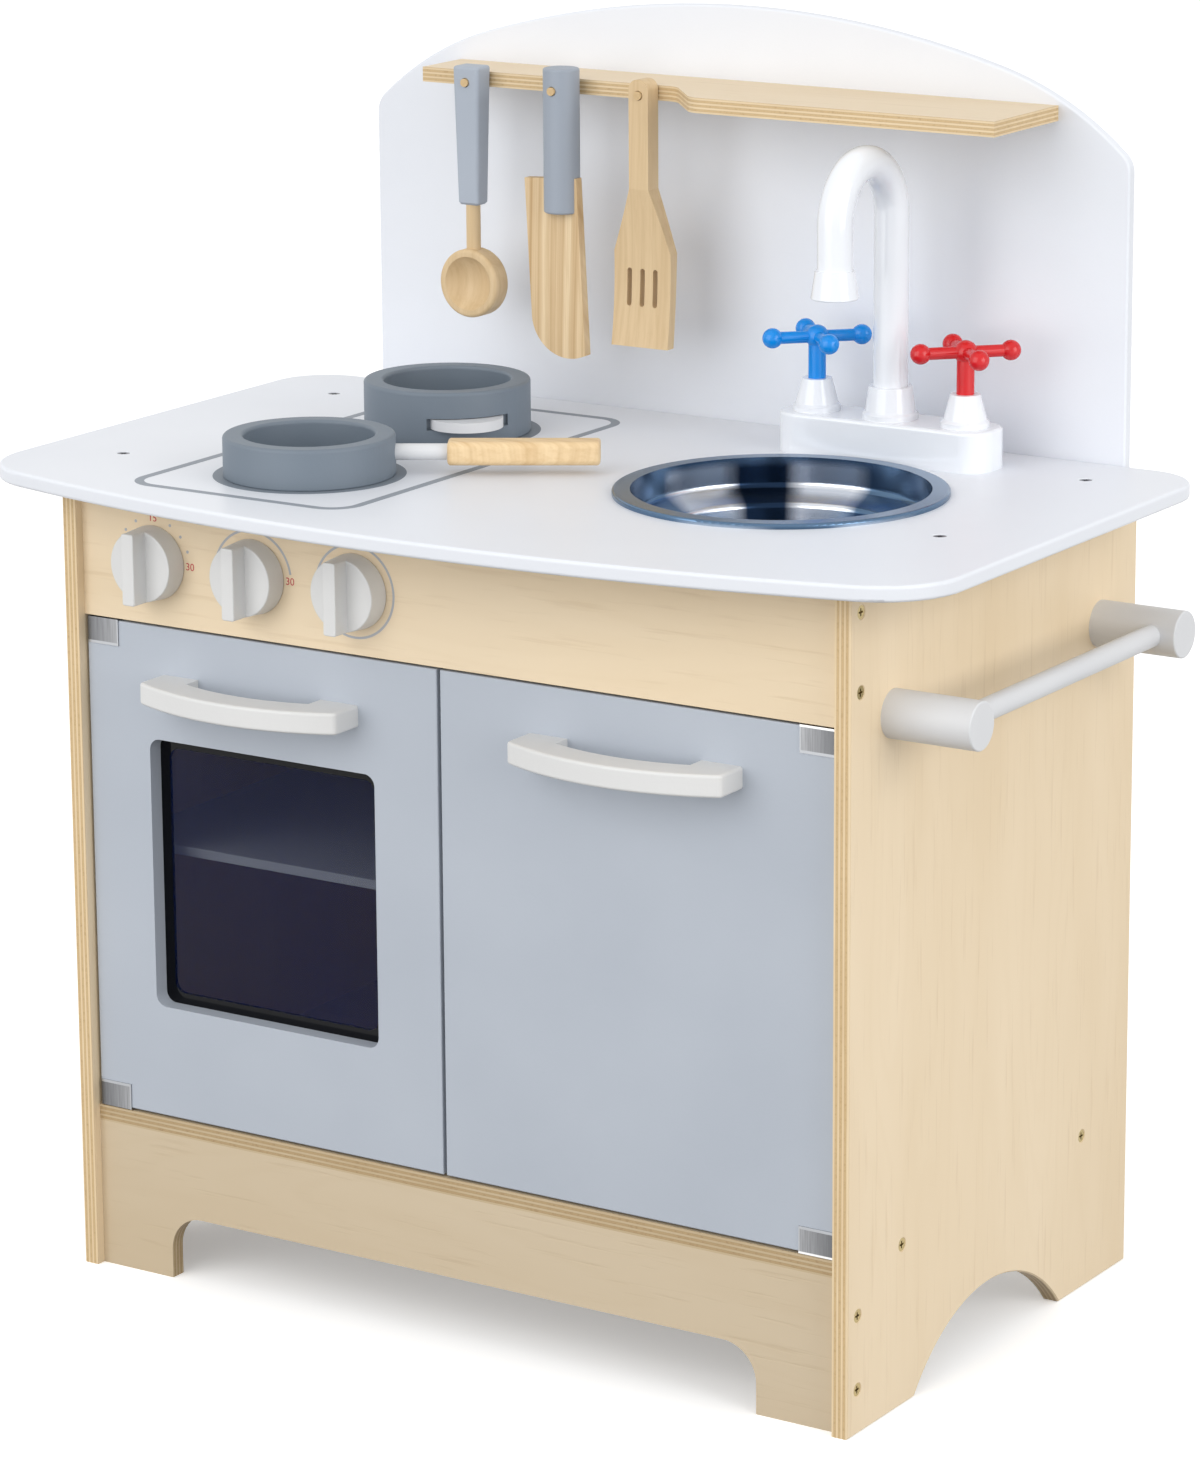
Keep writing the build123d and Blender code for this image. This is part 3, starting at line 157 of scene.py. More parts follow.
def turned_place(tree, order):
    """The object's coordinates and its normal, with their axes in another order, such as ZYX."""
    place = put(tree, "TexCoord").outputs
    swapped = []
    for source in (place["Object"], place["Normal"]):
        parts = put(tree, "SeparateXYZ", {0: source}).outputs
        turned = {n: parts[axis] for n, axis in enumerate(order)}
        swapped.append(put(tree, "CombineXYZ", turned).outputs[0])
    return swapped


sharp_angle, ease_steps = math.radians(50), 2


def dress(material, slot, *names, bevel=0.0):
    """Give carried-over nodes their material and ease their sharp edges for the light; slot is not
    used.
    """
    for name in names:
        node = nodes[name]
        node.data.materials.clear()
        node.data.materials.append(material)
        if bevel:
            ease = node.modifiers.new("ease", "BEVEL")
            ease.width = bevel
            ease.segments = ease_steps
            ease.limit_method = "ANGLE"
            ease.angle_limit = sharp_angle
            ease.harden_normals = True


# The plywood's look: X runs along the grain, Z through the board. Depth is 0 on one face and
# 1 on the other, Seed shifts the figure so that no two boards match, and Darkening scales a
# board's colour down, which on the plinth and the bottom board is painted shade.
birch_light, birch_dark = srgb(239, 219, 190), srgb(222, 198, 162)
long_layer, end_layer = srgb(236, 213, 176), srgb(214, 184, 140)
long_fibre, end_pore = srgb(200, 168, 122), srgb(172, 138, 96)
glue_line = srgb(176, 142, 98)
ply_layers, layer_wander = 7, 0.24
glue_start, glue_full, glue_depth = 0.40, 0.49, 0.65
contour_waves, contour_depth, pore_depth = 95.0, 0.07, 0.13
seed_way, sheet_blue = (1.0, 1.7, 0.3), 0.97
board_bump, board_bevel = 0.00008, 0.0006
birch, start, end = new_group(
    "birch_plywood", Place="Vector", Normal="Vector", Depth="Float", Seed="Vector", Sheet="Color"
)
seeded = vector_calc(birch, "ADD", start["Place"], start["Seed"])
figure = noise(birch, seeded, 3.2, 3.0, 0.55, stretch=(0.55, 2.6, 2.6))
swirl = noise(birch, seeded, 5.0, 2.0, 0.5, stretch=(0.35, 2.0, 2.0), shift=(3.1, 1.7, 0.4))
contour = calc(birch, "SINE", calc(birch, "MULTIPLY", swirl, contour_waves))
contour = spread(birch, contour, 0.2, 1.0)
pores = noise(birch, seeded, 160.0, 2.0, 0.6, stretch=(0.09, 1.6, 1.6))
pores = spread(birch, pores, 0.58, 0.72)
cloud = noise(birch, seeded, 7.0, 2.0)
face = blend_colours(birch, spread(birch, figure, 0.35, 0.95), birch_light, birch_dark)
face = blend_colours(birch, calc(birch, "MULTIPLY", contour, contour_depth), face, birch_dark)
face = blend_colours(birch, calc(birch, "MULTIPLY", pores, pore_depth), face, glue_line)
face = blend_colours(birch, spread(birch, cloud, 0.5, 0.9, 0.0, 0.25), face, birch_light)
layer = calc(birch, "MULTIPLY", start["Depth"], float(ply_layers))
wander = noise(birch, seeded, 9.0, 1.0)
layer = calc(birch, "ADD", layer, calc(birch, "MULTIPLY", wander, layer_wander))
in_layer = calc(birch, "FRACT", layer)
odd_layer = calc(birch, "FLOOR", calc(birch, "MODULO", layer, 2.0))
end_grain = noise(birch, seeded, 420.0, 3.0, 0.7)
long_grain = noise(birch, seeded, 150.0, 2.0, 0.6, stretch=(0.12, 1, 1))
edge = blend_colours(birch, odd_layer, long_layer, end_layer)
edge = blend_colours(birch, spread(birch, long_grain, 0.35, 0.8, 0.0, 0.35), edge, long_fibre)
speckle = calc(birch, "MULTIPLY", odd_layer, spread(birch, end_grain, 0.5, 0.75, 0.0, 0.55))
edge = blend_colours(birch, speckle, edge, end_pore)
joint = calc(birch, "ABSOLUTE", calc(birch, "SUBTRACT", in_layer, 0.5))
glue = spread(birch, joint, glue_start, glue_full, 0.0, glue_depth)
edge = blend_colours(birch, glue, edge, glue_line)
facing = put(birch, "SeparateXYZ", {0: start["Normal"]}).outputs[2]
on_face = spread(birch, calc(birch, "ABSOLUTE", facing), 0.6, 0.8)
board_tone = blend_colours(birch, on_face, edge, face)
birch.links.new(blend_colours(birch, 1.0, board_tone, start["Sheet"], "MULTIPLY"), end["Color"])
birch.links.new(spread(birch, figure, 0.2, 0.8, 0.42, 0.52), end["Roughness"])
rough_edge = calc(birch, "MULTIPLY", end_grain, calc(birch, "SUBTRACT", 1.0, on_face))
height = calc(birch, "SUBTRACT", rough_edge, calc(birch, "MULTIPLY", pores, on_face))
birch.links.new(height, end["Height"])


def plywood(name, order, seed, darkening=1.0):
    """Dress one board, its axes in this order: along the grain, across it, through the board."""
    through = "XYZ".index(order[2])
    low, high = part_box(name)
    material, tree, shader = new_material("birch_" + name, IOR=1.45)
    place, normal = turned_place(tree, order)
    depth = put(tree, "SeparateXYZ", {0: place}).outputs[2]
    depth = spread(tree, depth, low[through], high[through])
    shift = [seed * part for part in seed_way]
    tone = (darkening, darkening, darkening * sheet_blue, 1.0)
    wires = {"Place": place, "Normal": normal, "Depth": depth, "Seed": shift, "Sheet": tone}
    skin = use_group(tree, birch, **wires)
    finish_shader(tree, shader, skin, board_bump)
    dress(material, "birch_plywood", name, bevel=board_bevel)


first_seed, seed_step = 1.3, 2.1
# The plinth and the bottom board are toned darker: painted shade, as they sit below the doors.
shaded_boards = {"plinth": 0.75, "bottom_board": 0.70}
boards = {
    "side_panel_left": "ZYX",
    "side_panel_right": "ZYX",
    "fascia": "XZY",
    "plinth": "XZY",
    "bottom_board": "XYZ",
    "divider": "ZYX",
    "rear_rail": "XZY",
    "back_panel": "XZY",
}
for number, (board, order) in enumerate(boards.items()):
    plywood(board, order, first_seed + seed_step * number, shaded_boards.get(board, 1.0))

# Painted boards: the doors, the loose oven shelf, the worktop and the splashback are
# sprayed in two coats, so the paint has a fine orange peel and a very faint cloud in it.
cloud_shade, cloud_gloss = (0.80, 0.81, 0.83, 1.0), 0.06
board_ease = 0.0005
paint, start, end = new_group(
    "sprayed_paint", Place="Vector", Color="Color", Cloud="Float", Gloss="Float", Grain="Float"
)
clouds = noise(paint, start["Place"], 9.0, 3.0)
shade = blend_colours(paint, 1.0, start["Color"], cloud_shade, "MULTIPLY")
amount = calc(paint, "MULTIPLY", spread(paint, clouds, 0.35, 0.75), start["Cloud"])
paint.links.new(blend_colours(paint, amount, start["Color"], shade), end["Color"])
peel = noise(paint, start["Place"], 620.0, 1.0)
gloss = calc(paint, "ADD", start["Gloss"], calc(paint, "MULTIPLY", clouds, cloud_gloss))
paint.links.new(gloss, end["Roughness"])
fibres = noise(paint, start["Place"], 130.0, 2.0, 0.6, stretch=(0.1, 1, 1))
relief = calc(paint, "ADD", peel, calc(paint, "MULTIPLY", fibres, start["Grain"]))
paint.links.new(relief, end["Height"])


def painted(
    name, colour, cloud=0.35, gloss=0.38, grain=0.0, peel=0.00004, order="XYZ", **constants
):
    """A sprayed or moulded surface of one colour."""
    material, tree, shader = new_material(name, **constants)
    place, _ = turned_place(tree, order)
    wires = {"Place": place, "Color": colour, "Cloud": cloud, "Gloss": gloss, "Grain": grain}
    skin = use_group(tree, paint, **wires)
    finish_shader(tree, shader, skin, peel)
    return material


door_paint = painted("door_paint", srgb(184, 191, 201), gloss=0.42)
dress(door_paint, "grey_blue_paint", "left_door", "right_door", bevel=board_ease)
shelf_paint = painted("oven_shelf_paint", srgb(226, 234, 244), gloss=0.45)
dress(shelf_paint, "grey_blue_paint", "oven_shelf", bevel=board_ease)
white_board = painted("white_board_paint", srgb(229, 232, 238), cloud=0.12, gloss=0.34)
dress(white_board, "white_paint", "worktop", "splashback")

# Spice shelf: one more plywood board, screwed on from behind the splashback. Its layers
# show all along the front edge and round the S-shaped step where it grows narrower.
shelf_seed, shelf_sheet = 27.0, 0.92
plywood("spice_shelf", "XYZ", shelf_seed, shelf_sheet)

# Hardwood pieces: dowel pegs, shelf dowels, spatula, ladle bowl, knife blade and pan grip,
# sanded and oiled, each with its own stripes.
beech_light, beech_dark = srgb(216, 188, 142), srgb(180, 146, 100)
band_waver, grain_bump, blade_bevel = 7.0, 0.00006, 0.0007
wood, start, end = new_group(
    "sanded_wood", Place="Vector", Stripes="Float", Pitch="Float", Light="Color", Dark="Color"
)
waver = noise(wood, start["Place"], 7.0, 2.0, 0.5, stretch=(0.25, 1, 1))
waver = calc(wood, "MULTIPLY", waver, band_waver)
across = put(wood, "SeparateXYZ", {0: start["Place"]}).outputs[1]
bands = calc(wood, "ADD", calc(wood, "MULTIPLY", across, start["Pitch"]), waver)
bands = noise(wood, put(wood, "CombineXYZ", {0: bands}).outputs[0], 1.0, 3.0, 0.65)
fine = noise(wood, start["Place"], 330.0, 3.0, 0.65, stretch=(0.05, 1, 1))
streaks = calc(wood, "MULTIPLY", spread(wood, bands, 0.38, 0.66), start["Stripes"])
tone = blend_colours(wood, streaks, start["Light"], start["Dark"])
tone = blend_colours(wood, spread(wood, fine, 0.45, 0.85, 0.0, 0.45), tone, start["Dark"])
wood.links.new(tone, end["Color"])
wood.links.new(spread(wood, fine, 0.2, 0.8, 0.46, 0.58), end["Roughness"])
wood.links.new(fine, end["Height"])


def hardwood(name, order, light, dark, stripes=0.5, pitch=90.0):
    """A sanded wood whose grain runs along the first axis of order."""
    material, tree, shader = new_material(name, IOR=1.45)
    place, _ = turned_place(tree, order)
    wires = {"Place": place, "Stripes": stripes, "Pitch": pitch, "Light": light, "Dark": dark}
    skin = use_group(tree, wood, **wires)
    finish_shader(tree, shader, skin, grain_bump)
    return material


dowel_wood = hardwood("dowel_wood", "YZX", beech_light, beech_dark)
dress(dowel_wood, "natural_beech", "utensil_pegs")
shelf_dowel_wood = hardwood("shelf_dowel_wood", "XYZ", beech_light, beech_dark)
dress(shelf_dowel_wood, "natural_beech", "shelf_dowels")
pale, brown = srgb(218, 192, 152), srgb(188, 157, 112)
utensil_wood = hardwood("utensil_wood", "ZXY", pale, brown, stripes=0.45, pitch=120.0)
dress(utensil_wood, "natural_beech", "spatula", "ladle_bowl")
pale, brown = srgb(230, 206, 167), srgb(184, 148, 100)
blade_wood = hardwood("striped_blade_wood", "ZXY", pale, brown, stripes=0.9, pitch=190.0)
dress(blade_wood, "natural_beech", "knife_blade", bevel=blade_bevel)
pale, brown = srgb(234, 208, 166), srgb(196, 158, 106)
grip_wood = hardwood("grip_wood", "XYZ", pale, brown, stripes=0.6, pitch=160.0)
dress(grip_wood, "natural_beech", "pan_grip")

# Painted handles of the ladle and the knife: two close greys from two batches of paint,
# over wood whose fibres run along the handle.
for name, tone in (("ladle_handle", srgb(168, 176, 187)), ("knife_handle", srgb(152, 160, 171))):
    handle_paint = painted(name + "_paint", tone, gloss=0.45, grain=0.8, order="ZXY")
    dress(handle_paint, "mid_grey_paint", name)

# Frying pan and cooking pot: turned wood rings, painted slate grey, with the wood's fibres
# just showing through the paint. The pan's rod and the pot's two handles are pale grey.
pan_paint = painted("pan_paint", srgb(112, 123, 134), gloss=0.48, grain=1.4, cloud=0.5)
dress(pan_paint, "slate_paint", "frying_pan", "cooking_pot")
pale_paint = painted("pale_wood_paint", srgb(219, 220, 222), gloss=0.42, grain=0.3)
dress(pale_paint, "pale_grey_paint", "pan_rod", "pot_handles")

# Towel rail: two turned posts with a rod between them, of wood in the same pale grey paint.
# The posts are held by screws from inside the right side panel.
dress(pale_paint, "pale_grey_paint", "towel_posts", "towel_rod")

# Moulded plastic: the bow handles and the knobs are off-white with a satin skin, the tap
# block, the bonnets and the spout are glossy white, the cross handles are blue and red.
satin = painted("satin_plastic", srgb(223, 223, 222), cloud=0.05, gloss=0.36, IOR=1.5)
names = ["left_door_handle", "right_door_handle", "knob_left", "knob_middle", "knob_right"]
dress(satin, "pale_grey_plastic", *names)
glossy = {"cloud": 0.0, "peel": 0.00001, "IOR": 1.5}
cool_white = srgb(235, 238, 243)
gloss_white = painted("glossy_white_plastic", cool_white, gloss=0.12, Coat_Weight=0.4, **glossy)
names = ["faucet_base", "tap_bonnets", "spout_collar", "spout", "spout_nozzle", "catch_blocks"]
names += ["knob_left_spindle", "knob_middle_spindle", "knob_right_spindle"]
dress(gloss_white, "white_plastic", *names)
blue = painted("blue_plastic", srgb(0, 138, 226), gloss=0.2, **glossy)
dress(blue, "blue_plastic", "cold_tap_handle")
red = painted("red_plastic", srgb(208, 24, 30), gloss=0.2, **glossy)
dress(red, "red_plastic", "hot_tap_handle")

# Sink bowl: spun from steel sheet, so fine rings run round it from the spinning tool. Below
# its rim the colour is a painted dark reflection, paler towards two sides, with fans of painted
# highlight that stand across from each other.
highlight_turns, pale_turn = (101.0, 155.0), 34.0
fan_start, fan_full, pale_start, pale_full = 0.95, 0.985, 0.3, 0.8
faded_reach, full_reach, faded_fan = 0.015, 0.05, 0.12
wall_start, wall_full = -0.001, -0.006
ring_shade, ring_bump, smudge_gloss = (0.66, 0.69, 0.74, 1.0), 0.000006, 0.08
steel, start, end = new_group(
    "spun_steel", Place="Vector", Color="Color", Deep="Color", Bright="Color", Gloss="Float"
)
flat = vector_calc(steel, "MULTIPLY", start["Place"], (1, 1, 0))
reach = vector_calc(steel, "LENGTH", flat)
rings = noise(steel, put(steel, "CombineXYZ", {0: reach}).outputs[0], 1500.0, 2.0, 0.6)
smudge = noise(steel, start["Place"], 18.0, 3.0)
drop = put(steel, "SeparateXYZ", {0: start["Place"]}).outputs[2]
around = vector_calc(steel, "NORMALIZE", flat)


def sheen(degrees, low, high):
    """How far a place of the bowl lies towards a direction or its opposite."""
    way = (math.cos(math.radians(degrees)), math.sin(math.radians(degrees)), 0.0)
    toward = vector_calc(steel, "DOT_PRODUCT", around, way)
    return spread(steel, calc(steel, "ABSOLUTE", toward), low, high)


# Painted highlight: bright fans round two directions, fainter near the middle of the floor.
highlight_fans = calc(steel, "MAXIMUM", *[sheen(turn, fan_start, fan_full) for turn in highlight_turns])
fading = spread(steel, reach, faded_reach, full_reach, faded_fan, 1.0)
highlight_fans = calc(steel, "MULTIPLY", highlight_fans, fading)
inside = spread(steel, drop, wall_full, wall_start, 1.0, 0.0)
paler = sheen(pale_turn, pale_start, pale_full)
painted_reflection = blend_colours(steel, paler, start["Deep"], start["Color"])
painted_reflection = blend_colours(steel, highlight_fans, painted_reflection, start["Bright"])
tone = blend_colours(steel, inside, start["Color"], painted_reflection)
darker = blend_colours(steel, 1.0, tone, ring_shade, "MULTIPLY")
steel.links.new(blend_colours(steel, rings, tone, darker), end["Color"])
gloss = calc(steel, "ADD", start["Gloss"], calc(steel, "MULTIPLY", smudge, smudge_gloss))
steel.links.new(gloss, end["Roughness"])
steel.links.new(rings, end["Height"])


def metal(name, colour, gloss, centre=(0, 0, 0), painted_reflection=None, highlight=None):
    """Steel with rings about a centre. Below it fan a painted dark reflection and highlights."""
    material, tree, shader = new_material(name, Metallic=1.0)
    place = put(tree, "TexCoord").outputs["Object"]
    moved = vector_calc(tree, "SUBTRACT", place, centre)
    tones = {"Color": colour, "Deep": painted_reflection or colour, "Bright": highlight or colour}
    skin = use_group(tree, steel, Place=moved, Gloss=gloss, **tones)
    finish_shader(tree, shader, skin, ring_bump)
    return material


low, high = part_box("sink_bowl")
rim_centre = ((low.x + high.x) / 2, (low.y + high.y) / 2, high.z)
# The dark colour is painted reflection inside the bowl, the pale one painted highlight.
sink_tones = {"painted_reflection": srgb(36, 54, 78), "highlight": srgb(242, 244, 248)}
sink_metal = metal("spun_sink_steel", srgb(106, 134, 162), 0.2, rim_centre, **sink_tones)
dress(sink_metal, "sink_steel", "sink_bowl")

# Small hardware: the doors' pivot pins, their strike plates and the small screws are plain
# steel. The case's screws, in the sides and the back, are plated yellow, and each magnetic
# catch holds a bright magnet.
hardware_metal = metal("hardware_steel", srgb(132, 133, 136), 0.3)
names = ["left_door_pins", "right_door_pins", "left_door_strike", "right_door_strike"]
names += ["worktop_screws", "faucet_screws", "pane_screws"]
names += ["left_door_handle_screws", "right_door_handle_screws"]
dress(hardware_metal, "clip_steel", *names)
screw_metal = metal("screw_steel", srgb(190, 170, 120), 0.3)
dress(screw_metal, "screw_steel", "side_screws", "rear_screws")
dress(metal("magnet_steel", srgb(150, 150, 152), 0.2), "magnet_steel", "catch_magnets")

# Corner clips: brushed steel channels over the doors' outer corners. The two edges that
# face the middle of the door carry a thin painted highlight, and so does the bend over the
# right door's ends.
clip_height, highlight_width, rim_fade = 0.015, 0.0007, 0.0002
bend_start, bend_full = 0.0014, 0.0010
clip_pale, clip_dark, clip_groove = srgb(156, 157, 159), srgb(104, 105, 107), srgb(92, 93, 96)
rim_highlight, bend_highlight = srgb(164, 166, 169), srgb(226, 226, 226)
for side, name in ((-1, "left_door_clips"), (1, "right_door_clips")):
    low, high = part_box(name)
    half = (high - low) / 2
    material, tree, shader = new_material("clip_steel_" + name, Metallic=1.0)
    place = put(tree, "TexCoord").outputs["Object"]
    away = vector_calc(tree, "SUBTRACT", place, (low + high) / 2)
    parts = put(tree, "SeparateXYZ", {0: away}).outputs
    across = calc(tree, "MULTIPLY", parts[0], float(side))
    upright = calc(tree, "ABSOLUTE", parts[2])
    inner_x, inner_z = highlight_width - half.x, half.z - clip_height + highlight_width
    upright_rim = spread(tree, across, inner_x, inner_x + rim_fade, 1.0, 0.0)
    level_rim = spread(tree, upright, inner_z, inner_z + rim_fade, 1.0, 0.0)
    rim = calc(tree, "MAXIMUM", upright_rim, level_rim)
    bend = spread(tree, upright, half.z - bend_start, half.z - bend_full, 0.0, float(side == 1))
    brushed = noise(tree, place, 900.0, 2.0, 0.6, stretch=(1, 1, 0.04))
    toward_hinge = spread(tree, across, -half.x, half.x)
    tone = blend_colours(tree, toward_hinge, clip_pale, clip_dark)
    tone = blend_colours(tree, spread(tree, brushed, 0.3, 0.7, 0.0, 0.5), tone, clip_groove)
    # Painted highlight along the rim and over the bend, where the edge would catch the light.
    tone = blend_colours(tree, rim, tone, rim_highlight)
    tone = blend_colours(tree, bend, tone, bend_highlight)
    tree.links.new(tone, shader.inputs["Base Color"])
    tree.links.new(spread(tree, brushed, 0.2, 0.8, 0.26, 0.38), shader.inputs["Roughness"])
    dress(material, "clip_steel", name)

# Oven window: a dark tinted sheet behind the door's opening, clear enough that the shelf
# shows through it, with a faint unevenness in the tint and a black border along its edge.
tint_deep, tint_pale, border_black = srgb(4, 16, 60), srgb(8, 22, 68), srgb(3, 4, 9)
thinnest, thickest = 0.36, 0.40
lap, border_band, corner, border_fade = 0.010, 0.007, 0.007, 0.0004
inset, depth_to_spare = lap + border_band + corner, 1.0
pane, tree, shader = new_material(
    "smoked_acrylic", Roughness=0.06, IOR=1.49, Specular_IOR_Level=0.18
)
place = put(tree, "TexCoord").outputs["Object"]
smoke = noise(tree, place, 14.0, 2.0)
tint = blend_colours(tree, spread(tree, smoke, 0.3, 0.7), tint_deep, tint_pale)
veil = spread(tree, smoke, 0.2, 0.8, thinnest, thickest)
low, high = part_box("oven_window")
half = (high - low) / 2 + Vector((-inset, depth_to_spare, -inset))
away = vector_calc(tree, "SUBTRACT", place, (low + high) / 2)
away = vector_calc(tree, "SUBTRACT", vector_calc(tree, "ABSOLUTE", away), half)
away = vector_calc(tree, "LENGTH", vector_calc(tree, "MAXIMUM", away, (0, 0, 0)))
# Round its edge the pane is opaque black, in a band with rounded corners.
border = spread(tree, away, corner, corner + border_fade)
tree.links.new(blend_colours(tree, border, tint, border_black), shader.inputs["Base Color"])
tree.links.new(calc(tree, "MAXIMUM", border, veil), shader.inputs["Alpha"])
dress(pane, "smoked_acrylic", "oven_window")

# Prints: the hob's outline and its two discs on the worktop, and the dials on the fascia,
# each a film of ink a tenth of a millimetre thick. The dials have dots, rings and numbers.
ink_height, ink_root = 0.00008, -0.00005
hob_left, hob_right, hob_front, hob_rear = -0.210, -0.054, -0.0145, 0.288
hob_corner, hob_line, burner_radius = 0.020, 0.0055, 0.056
corner_points, burner_pinhole = 12, burner_radius / 200
dial_radius, dial_line, dot_radius, dot_points = 0.0262, 0.00135, 0.0009, 25
dot_angles, dot_pinhole = (20, 41, 62, 118, 139, 160), dot_radius / 20
arc_start, arc_end, number_height = 9.0, 171.0, 0.0062


def circle_point(centre, radius, degrees):
    """The point of a circle at an angle, which counts from the right, upwards."""
    turn = math.radians(degrees)
    return centre[0] + radius * math.cos(turn), centre[1] + radius * math.sin(turn)


def arc_points(centre, radius, start_angle, end_angle, count):
    """Points along an arc, from one angle to the other."""
    steps = [start_angle + (end_angle - start_angle) * n / (count - 1) for n in range(count)]
    return [circle_point(centre, radius, step) for step in steps]


def ink_piece(name, sheets, lay, material):
    """Thin sheets of ink as one piece, each given as its left and its right run of points."""
    mesh = bpy.data.meshes.new(name)
    form = bmesh.new()
    for left, right, closed in sheets:
        rows = []
        for run in (left, right):
            rows.append([form.verts.new(lay(u, v, ink_root)) for u, v in run])
            rows.append([form.verts.new(lay(u, v, ink_height)) for u, v in run])
        left_low, left_high, right_low, right_high = rows
        count = len(left)
        for n in range(count if closed else count - 1):
            m = (n + 1) % count
            form.faces.new((left_high[n], left_high[m], right_high[m], right_high[n]))
            form.faces.new((left_low[m], left_low[n], right_low[n], right_low[m]))
            form.faces.new((left_low[n], left_low[m], left_high[m], left_high[n]))
            form.faces.new((right_low[m], right_low[n], right_high[n], right_high[m]))
        if not closed:
            form.faces.new((left_low[0], left_high[0], right_high[0], right_low[0]))
            form.faces.new((left_low[-1], right_low[-1], right_high[-1], left_high[-1]))
    bmesh.ops.recalc_face_normals(form, faces=form.faces)
    form.to_mesh(mesh)
    form.free()
    mesh.materials.append(material)
    piece = bpy.data.objects.new(name, mesh)
    bpy.context.scene.collection.objects.link(piece)
    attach(piece, "root")


def ring(centre, inner, outer, start_angle=0.0, end_angle=360.0, count=97):
    """A ring or a part of one, as a sheet of ink."""
    closed = end_angle - start_angle >= 360.0
    stop = end_angle - (360.0 / count if closed else 0.0)
    low_run = arc_points(centre, inner, start_angle, stop, count)
    return low_run, arc_points(centre, outer, start_angle, stop, count), closed


def on_worktop(u, v, height):
    """A point on the worktop, from its place across and its depth behind the case's front."""
    return u, case_front + v, worktop_face + height


def on_fascia(u, v, height):
    """A point on the fascia's face."""
    return u, fascia_face - height, v


case_front, worktop_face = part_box("side_panel_left")[0].y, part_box("worktop")[1].z
fascia_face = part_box("fascia")[0].y
ink = painted("grey_ink", srgb(142, 149, 158), cloud=0.1, gloss=0.5)
corners = (
    (hob_right - hob_corner, hob_rear - hob_corner, 0),
    (hob_left + hob_corner, hob_rear - hob_corner, 90),
    (hob_left + hob_corner, hob_front + hob_corner, 180),
    (hob_right - hob_corner, hob_front + hob_corner, 270),
)
inner, outer = [], []
for x, y, angle in corners:
    inner += arc_points((x, y), hob_corner - hob_line, angle, angle + 90, corner_points)
    outer += arc_points((x, y), hob_corner, angle, angle + 90, corner_points)
ink_piece("hob_outline", [(inner, outer, True)], on_worktop, ink)
burners = []
for pan_name in ("frying_pan", "cooking_pot"):
    low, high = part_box(pan_name)
    pan_middle = ((low.x + high.x) / 2, (low.y + high.y) / 2 - case_front)
    burners.append(ring(pan_middle, burner_pinhole, burner_radius))
burner_ink = painted("burner_ink", srgb(124, 133, 143), cloud=0.2, gloss=0.5)
ink_piece("hob_burners", burners, on_worktop, burner_ink)

dial_ink = painted("dial_ink", srgb(178, 180, 186), cloud=0.1, gloss=0.5)
number_ink = painted("number_ink", srgb(196, 62, 68), cloud=0.1, gloss=0.5)
dials = []
for knob_name in ("knob_left", "knob_middle", "knob_right"):
    low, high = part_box(knob_name)
    dials.append(((low.x + high.x) / 2, (low.z + high.z) / 2))
marks = []
for angle in dot_angles:
    spot = circle_point(dials[0], dial_radius, angle)
    marks.append(ring(spot, dot_pinhole, dot_radius, count=dot_points))
marks.append(ring(dials[1], dial_radius, dial_radius + dial_line, arc_start, arc_end))
marks.append(ring(dials[2], dial_radius, dial_radius + dial_line))
ink_piece("dial_marks", marks, on_fascia, dial_ink)
numbers = (("dial_15", "15", 0, 90), ("dial_30", "30", 0, 0), ("dial_30_middle", "30", 1, 0))
for name, text, dial, angle in numbers:
    data = bpy.data.curves.new(name, "FONT")
    data.body = text
    data.size = number_height
    data.align_x, data.align_y = "CENTER", "CENTER"
    data.extrude = ink_height
    data.materials.append(number_ink)
    number = bpy.data.objects.new(name, data)
    bpy.context.scene.collection.objects.link(number)
    u, v = circle_point(dials[dial], dial_radius, angle)
    number.location = on_fascia(u, v, 0.0)
    number.rotation_euler = (math.radians(90), 0.0, 0.0)
    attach(number, "root")

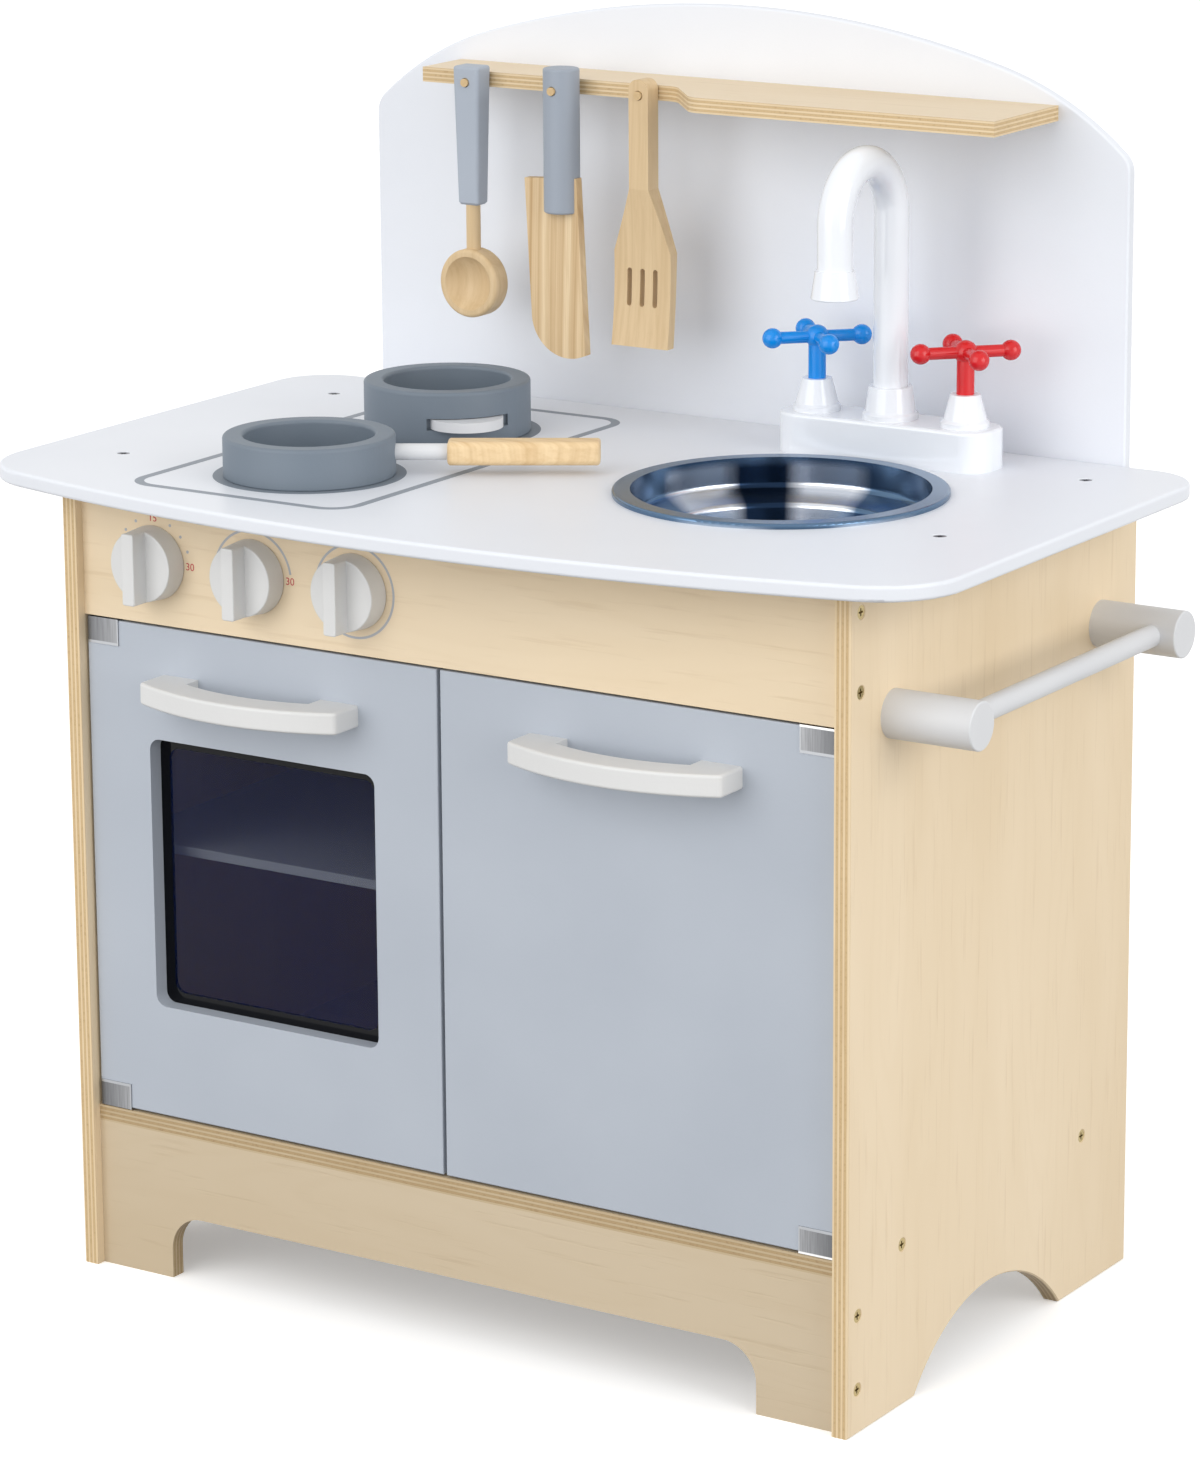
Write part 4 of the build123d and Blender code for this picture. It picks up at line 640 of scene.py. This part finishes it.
# Studio: a pale floor that keeps the kitchen's soft shadow, a white world and soft lamps.
# The camera and reflections see the floor white and a little lifted, so that it meets the
# world, and what it gives back to the kitchen is grey.
white = (1.0, 1.0, 1.0, 1.0)
floor_grey, floor_lift, floor_reach = (0.2, 0.2, 0.2, 1.0), 0.28, 8.0
ambient = 0.83


def seen_rays(tree):
    """1 where the camera looks, also through a reflection or a clear sheet, and else 0."""
    path = put(tree, "LightPath").outputs
    seen = calc(tree, "MAXIMUM", path["Is Camera Ray"], path["Is Glossy Ray"])
    return calc(tree, "MAXIMUM", seen, path["Is Transmission Ray"])


ways = ((-1, -1), (1, -1), (1, 1), (-1, 1))
floor_corners = [(x * floor_reach, y * floor_reach, 0.0) for x, y in ways]
floor_mesh = bpy.data.meshes.new("floor")
floor_mesh.from_pydata(floor_corners, [], [(0, 1, 2, 3)])
floor = bpy.data.objects.new("floor", floor_mesh)
bpy.context.scene.collection.objects.link(floor)
floor_material, tree, shader = new_material("studio_floor", Roughness=0.9)
shader.inputs["Emission Color"].default_value = white
seen = seen_rays(tree)
tree.links.new(calc(tree, "MULTIPLY", seen, floor_lift), shader.inputs["Emission Strength"])
tree.links.new(blend_colours(tree, seen, floor_grey, white), shader.inputs["Base Color"])
floor_mesh.materials.append(floor_material)

world = bpy.data.worlds.new("studio")
bpy.context.scene.world = world
world.use_nodes = True
tree = world.node_tree
strength = spread(tree, seen_rays(tree), 0.0, 1.0, ambient, 1.0)
background = tree.nodes["Background"]
background.inputs["Color"].default_value = white
tree.links.new(strength, background.inputs["Strength"])


def lamp(name, place, target, size, watts):
    """A square soft lamp at a place, looking at a target."""
    data = bpy.data.lights.new(name, "AREA")
    data.size = size
    data.energy = watts
    thing = bpy.data.objects.new(name, data)
    bpy.context.scene.collection.objects.link(thing)
    thing.location = place
    thing.rotation_euler = (Vector(target) - Vector(place)).to_track_quat("-Z", "Y").to_euler()


middle = (0.0, 0.0, 0.35)
lamp("key", (-0.9, -3.1, 1.5), middle, size=3.2, watts=58.0)
lamp("side", (3.0, -0.4, 1.2), middle, size=2.0, watts=38.0)

bpy.context.scene.view_settings.view_transform = "Standard"
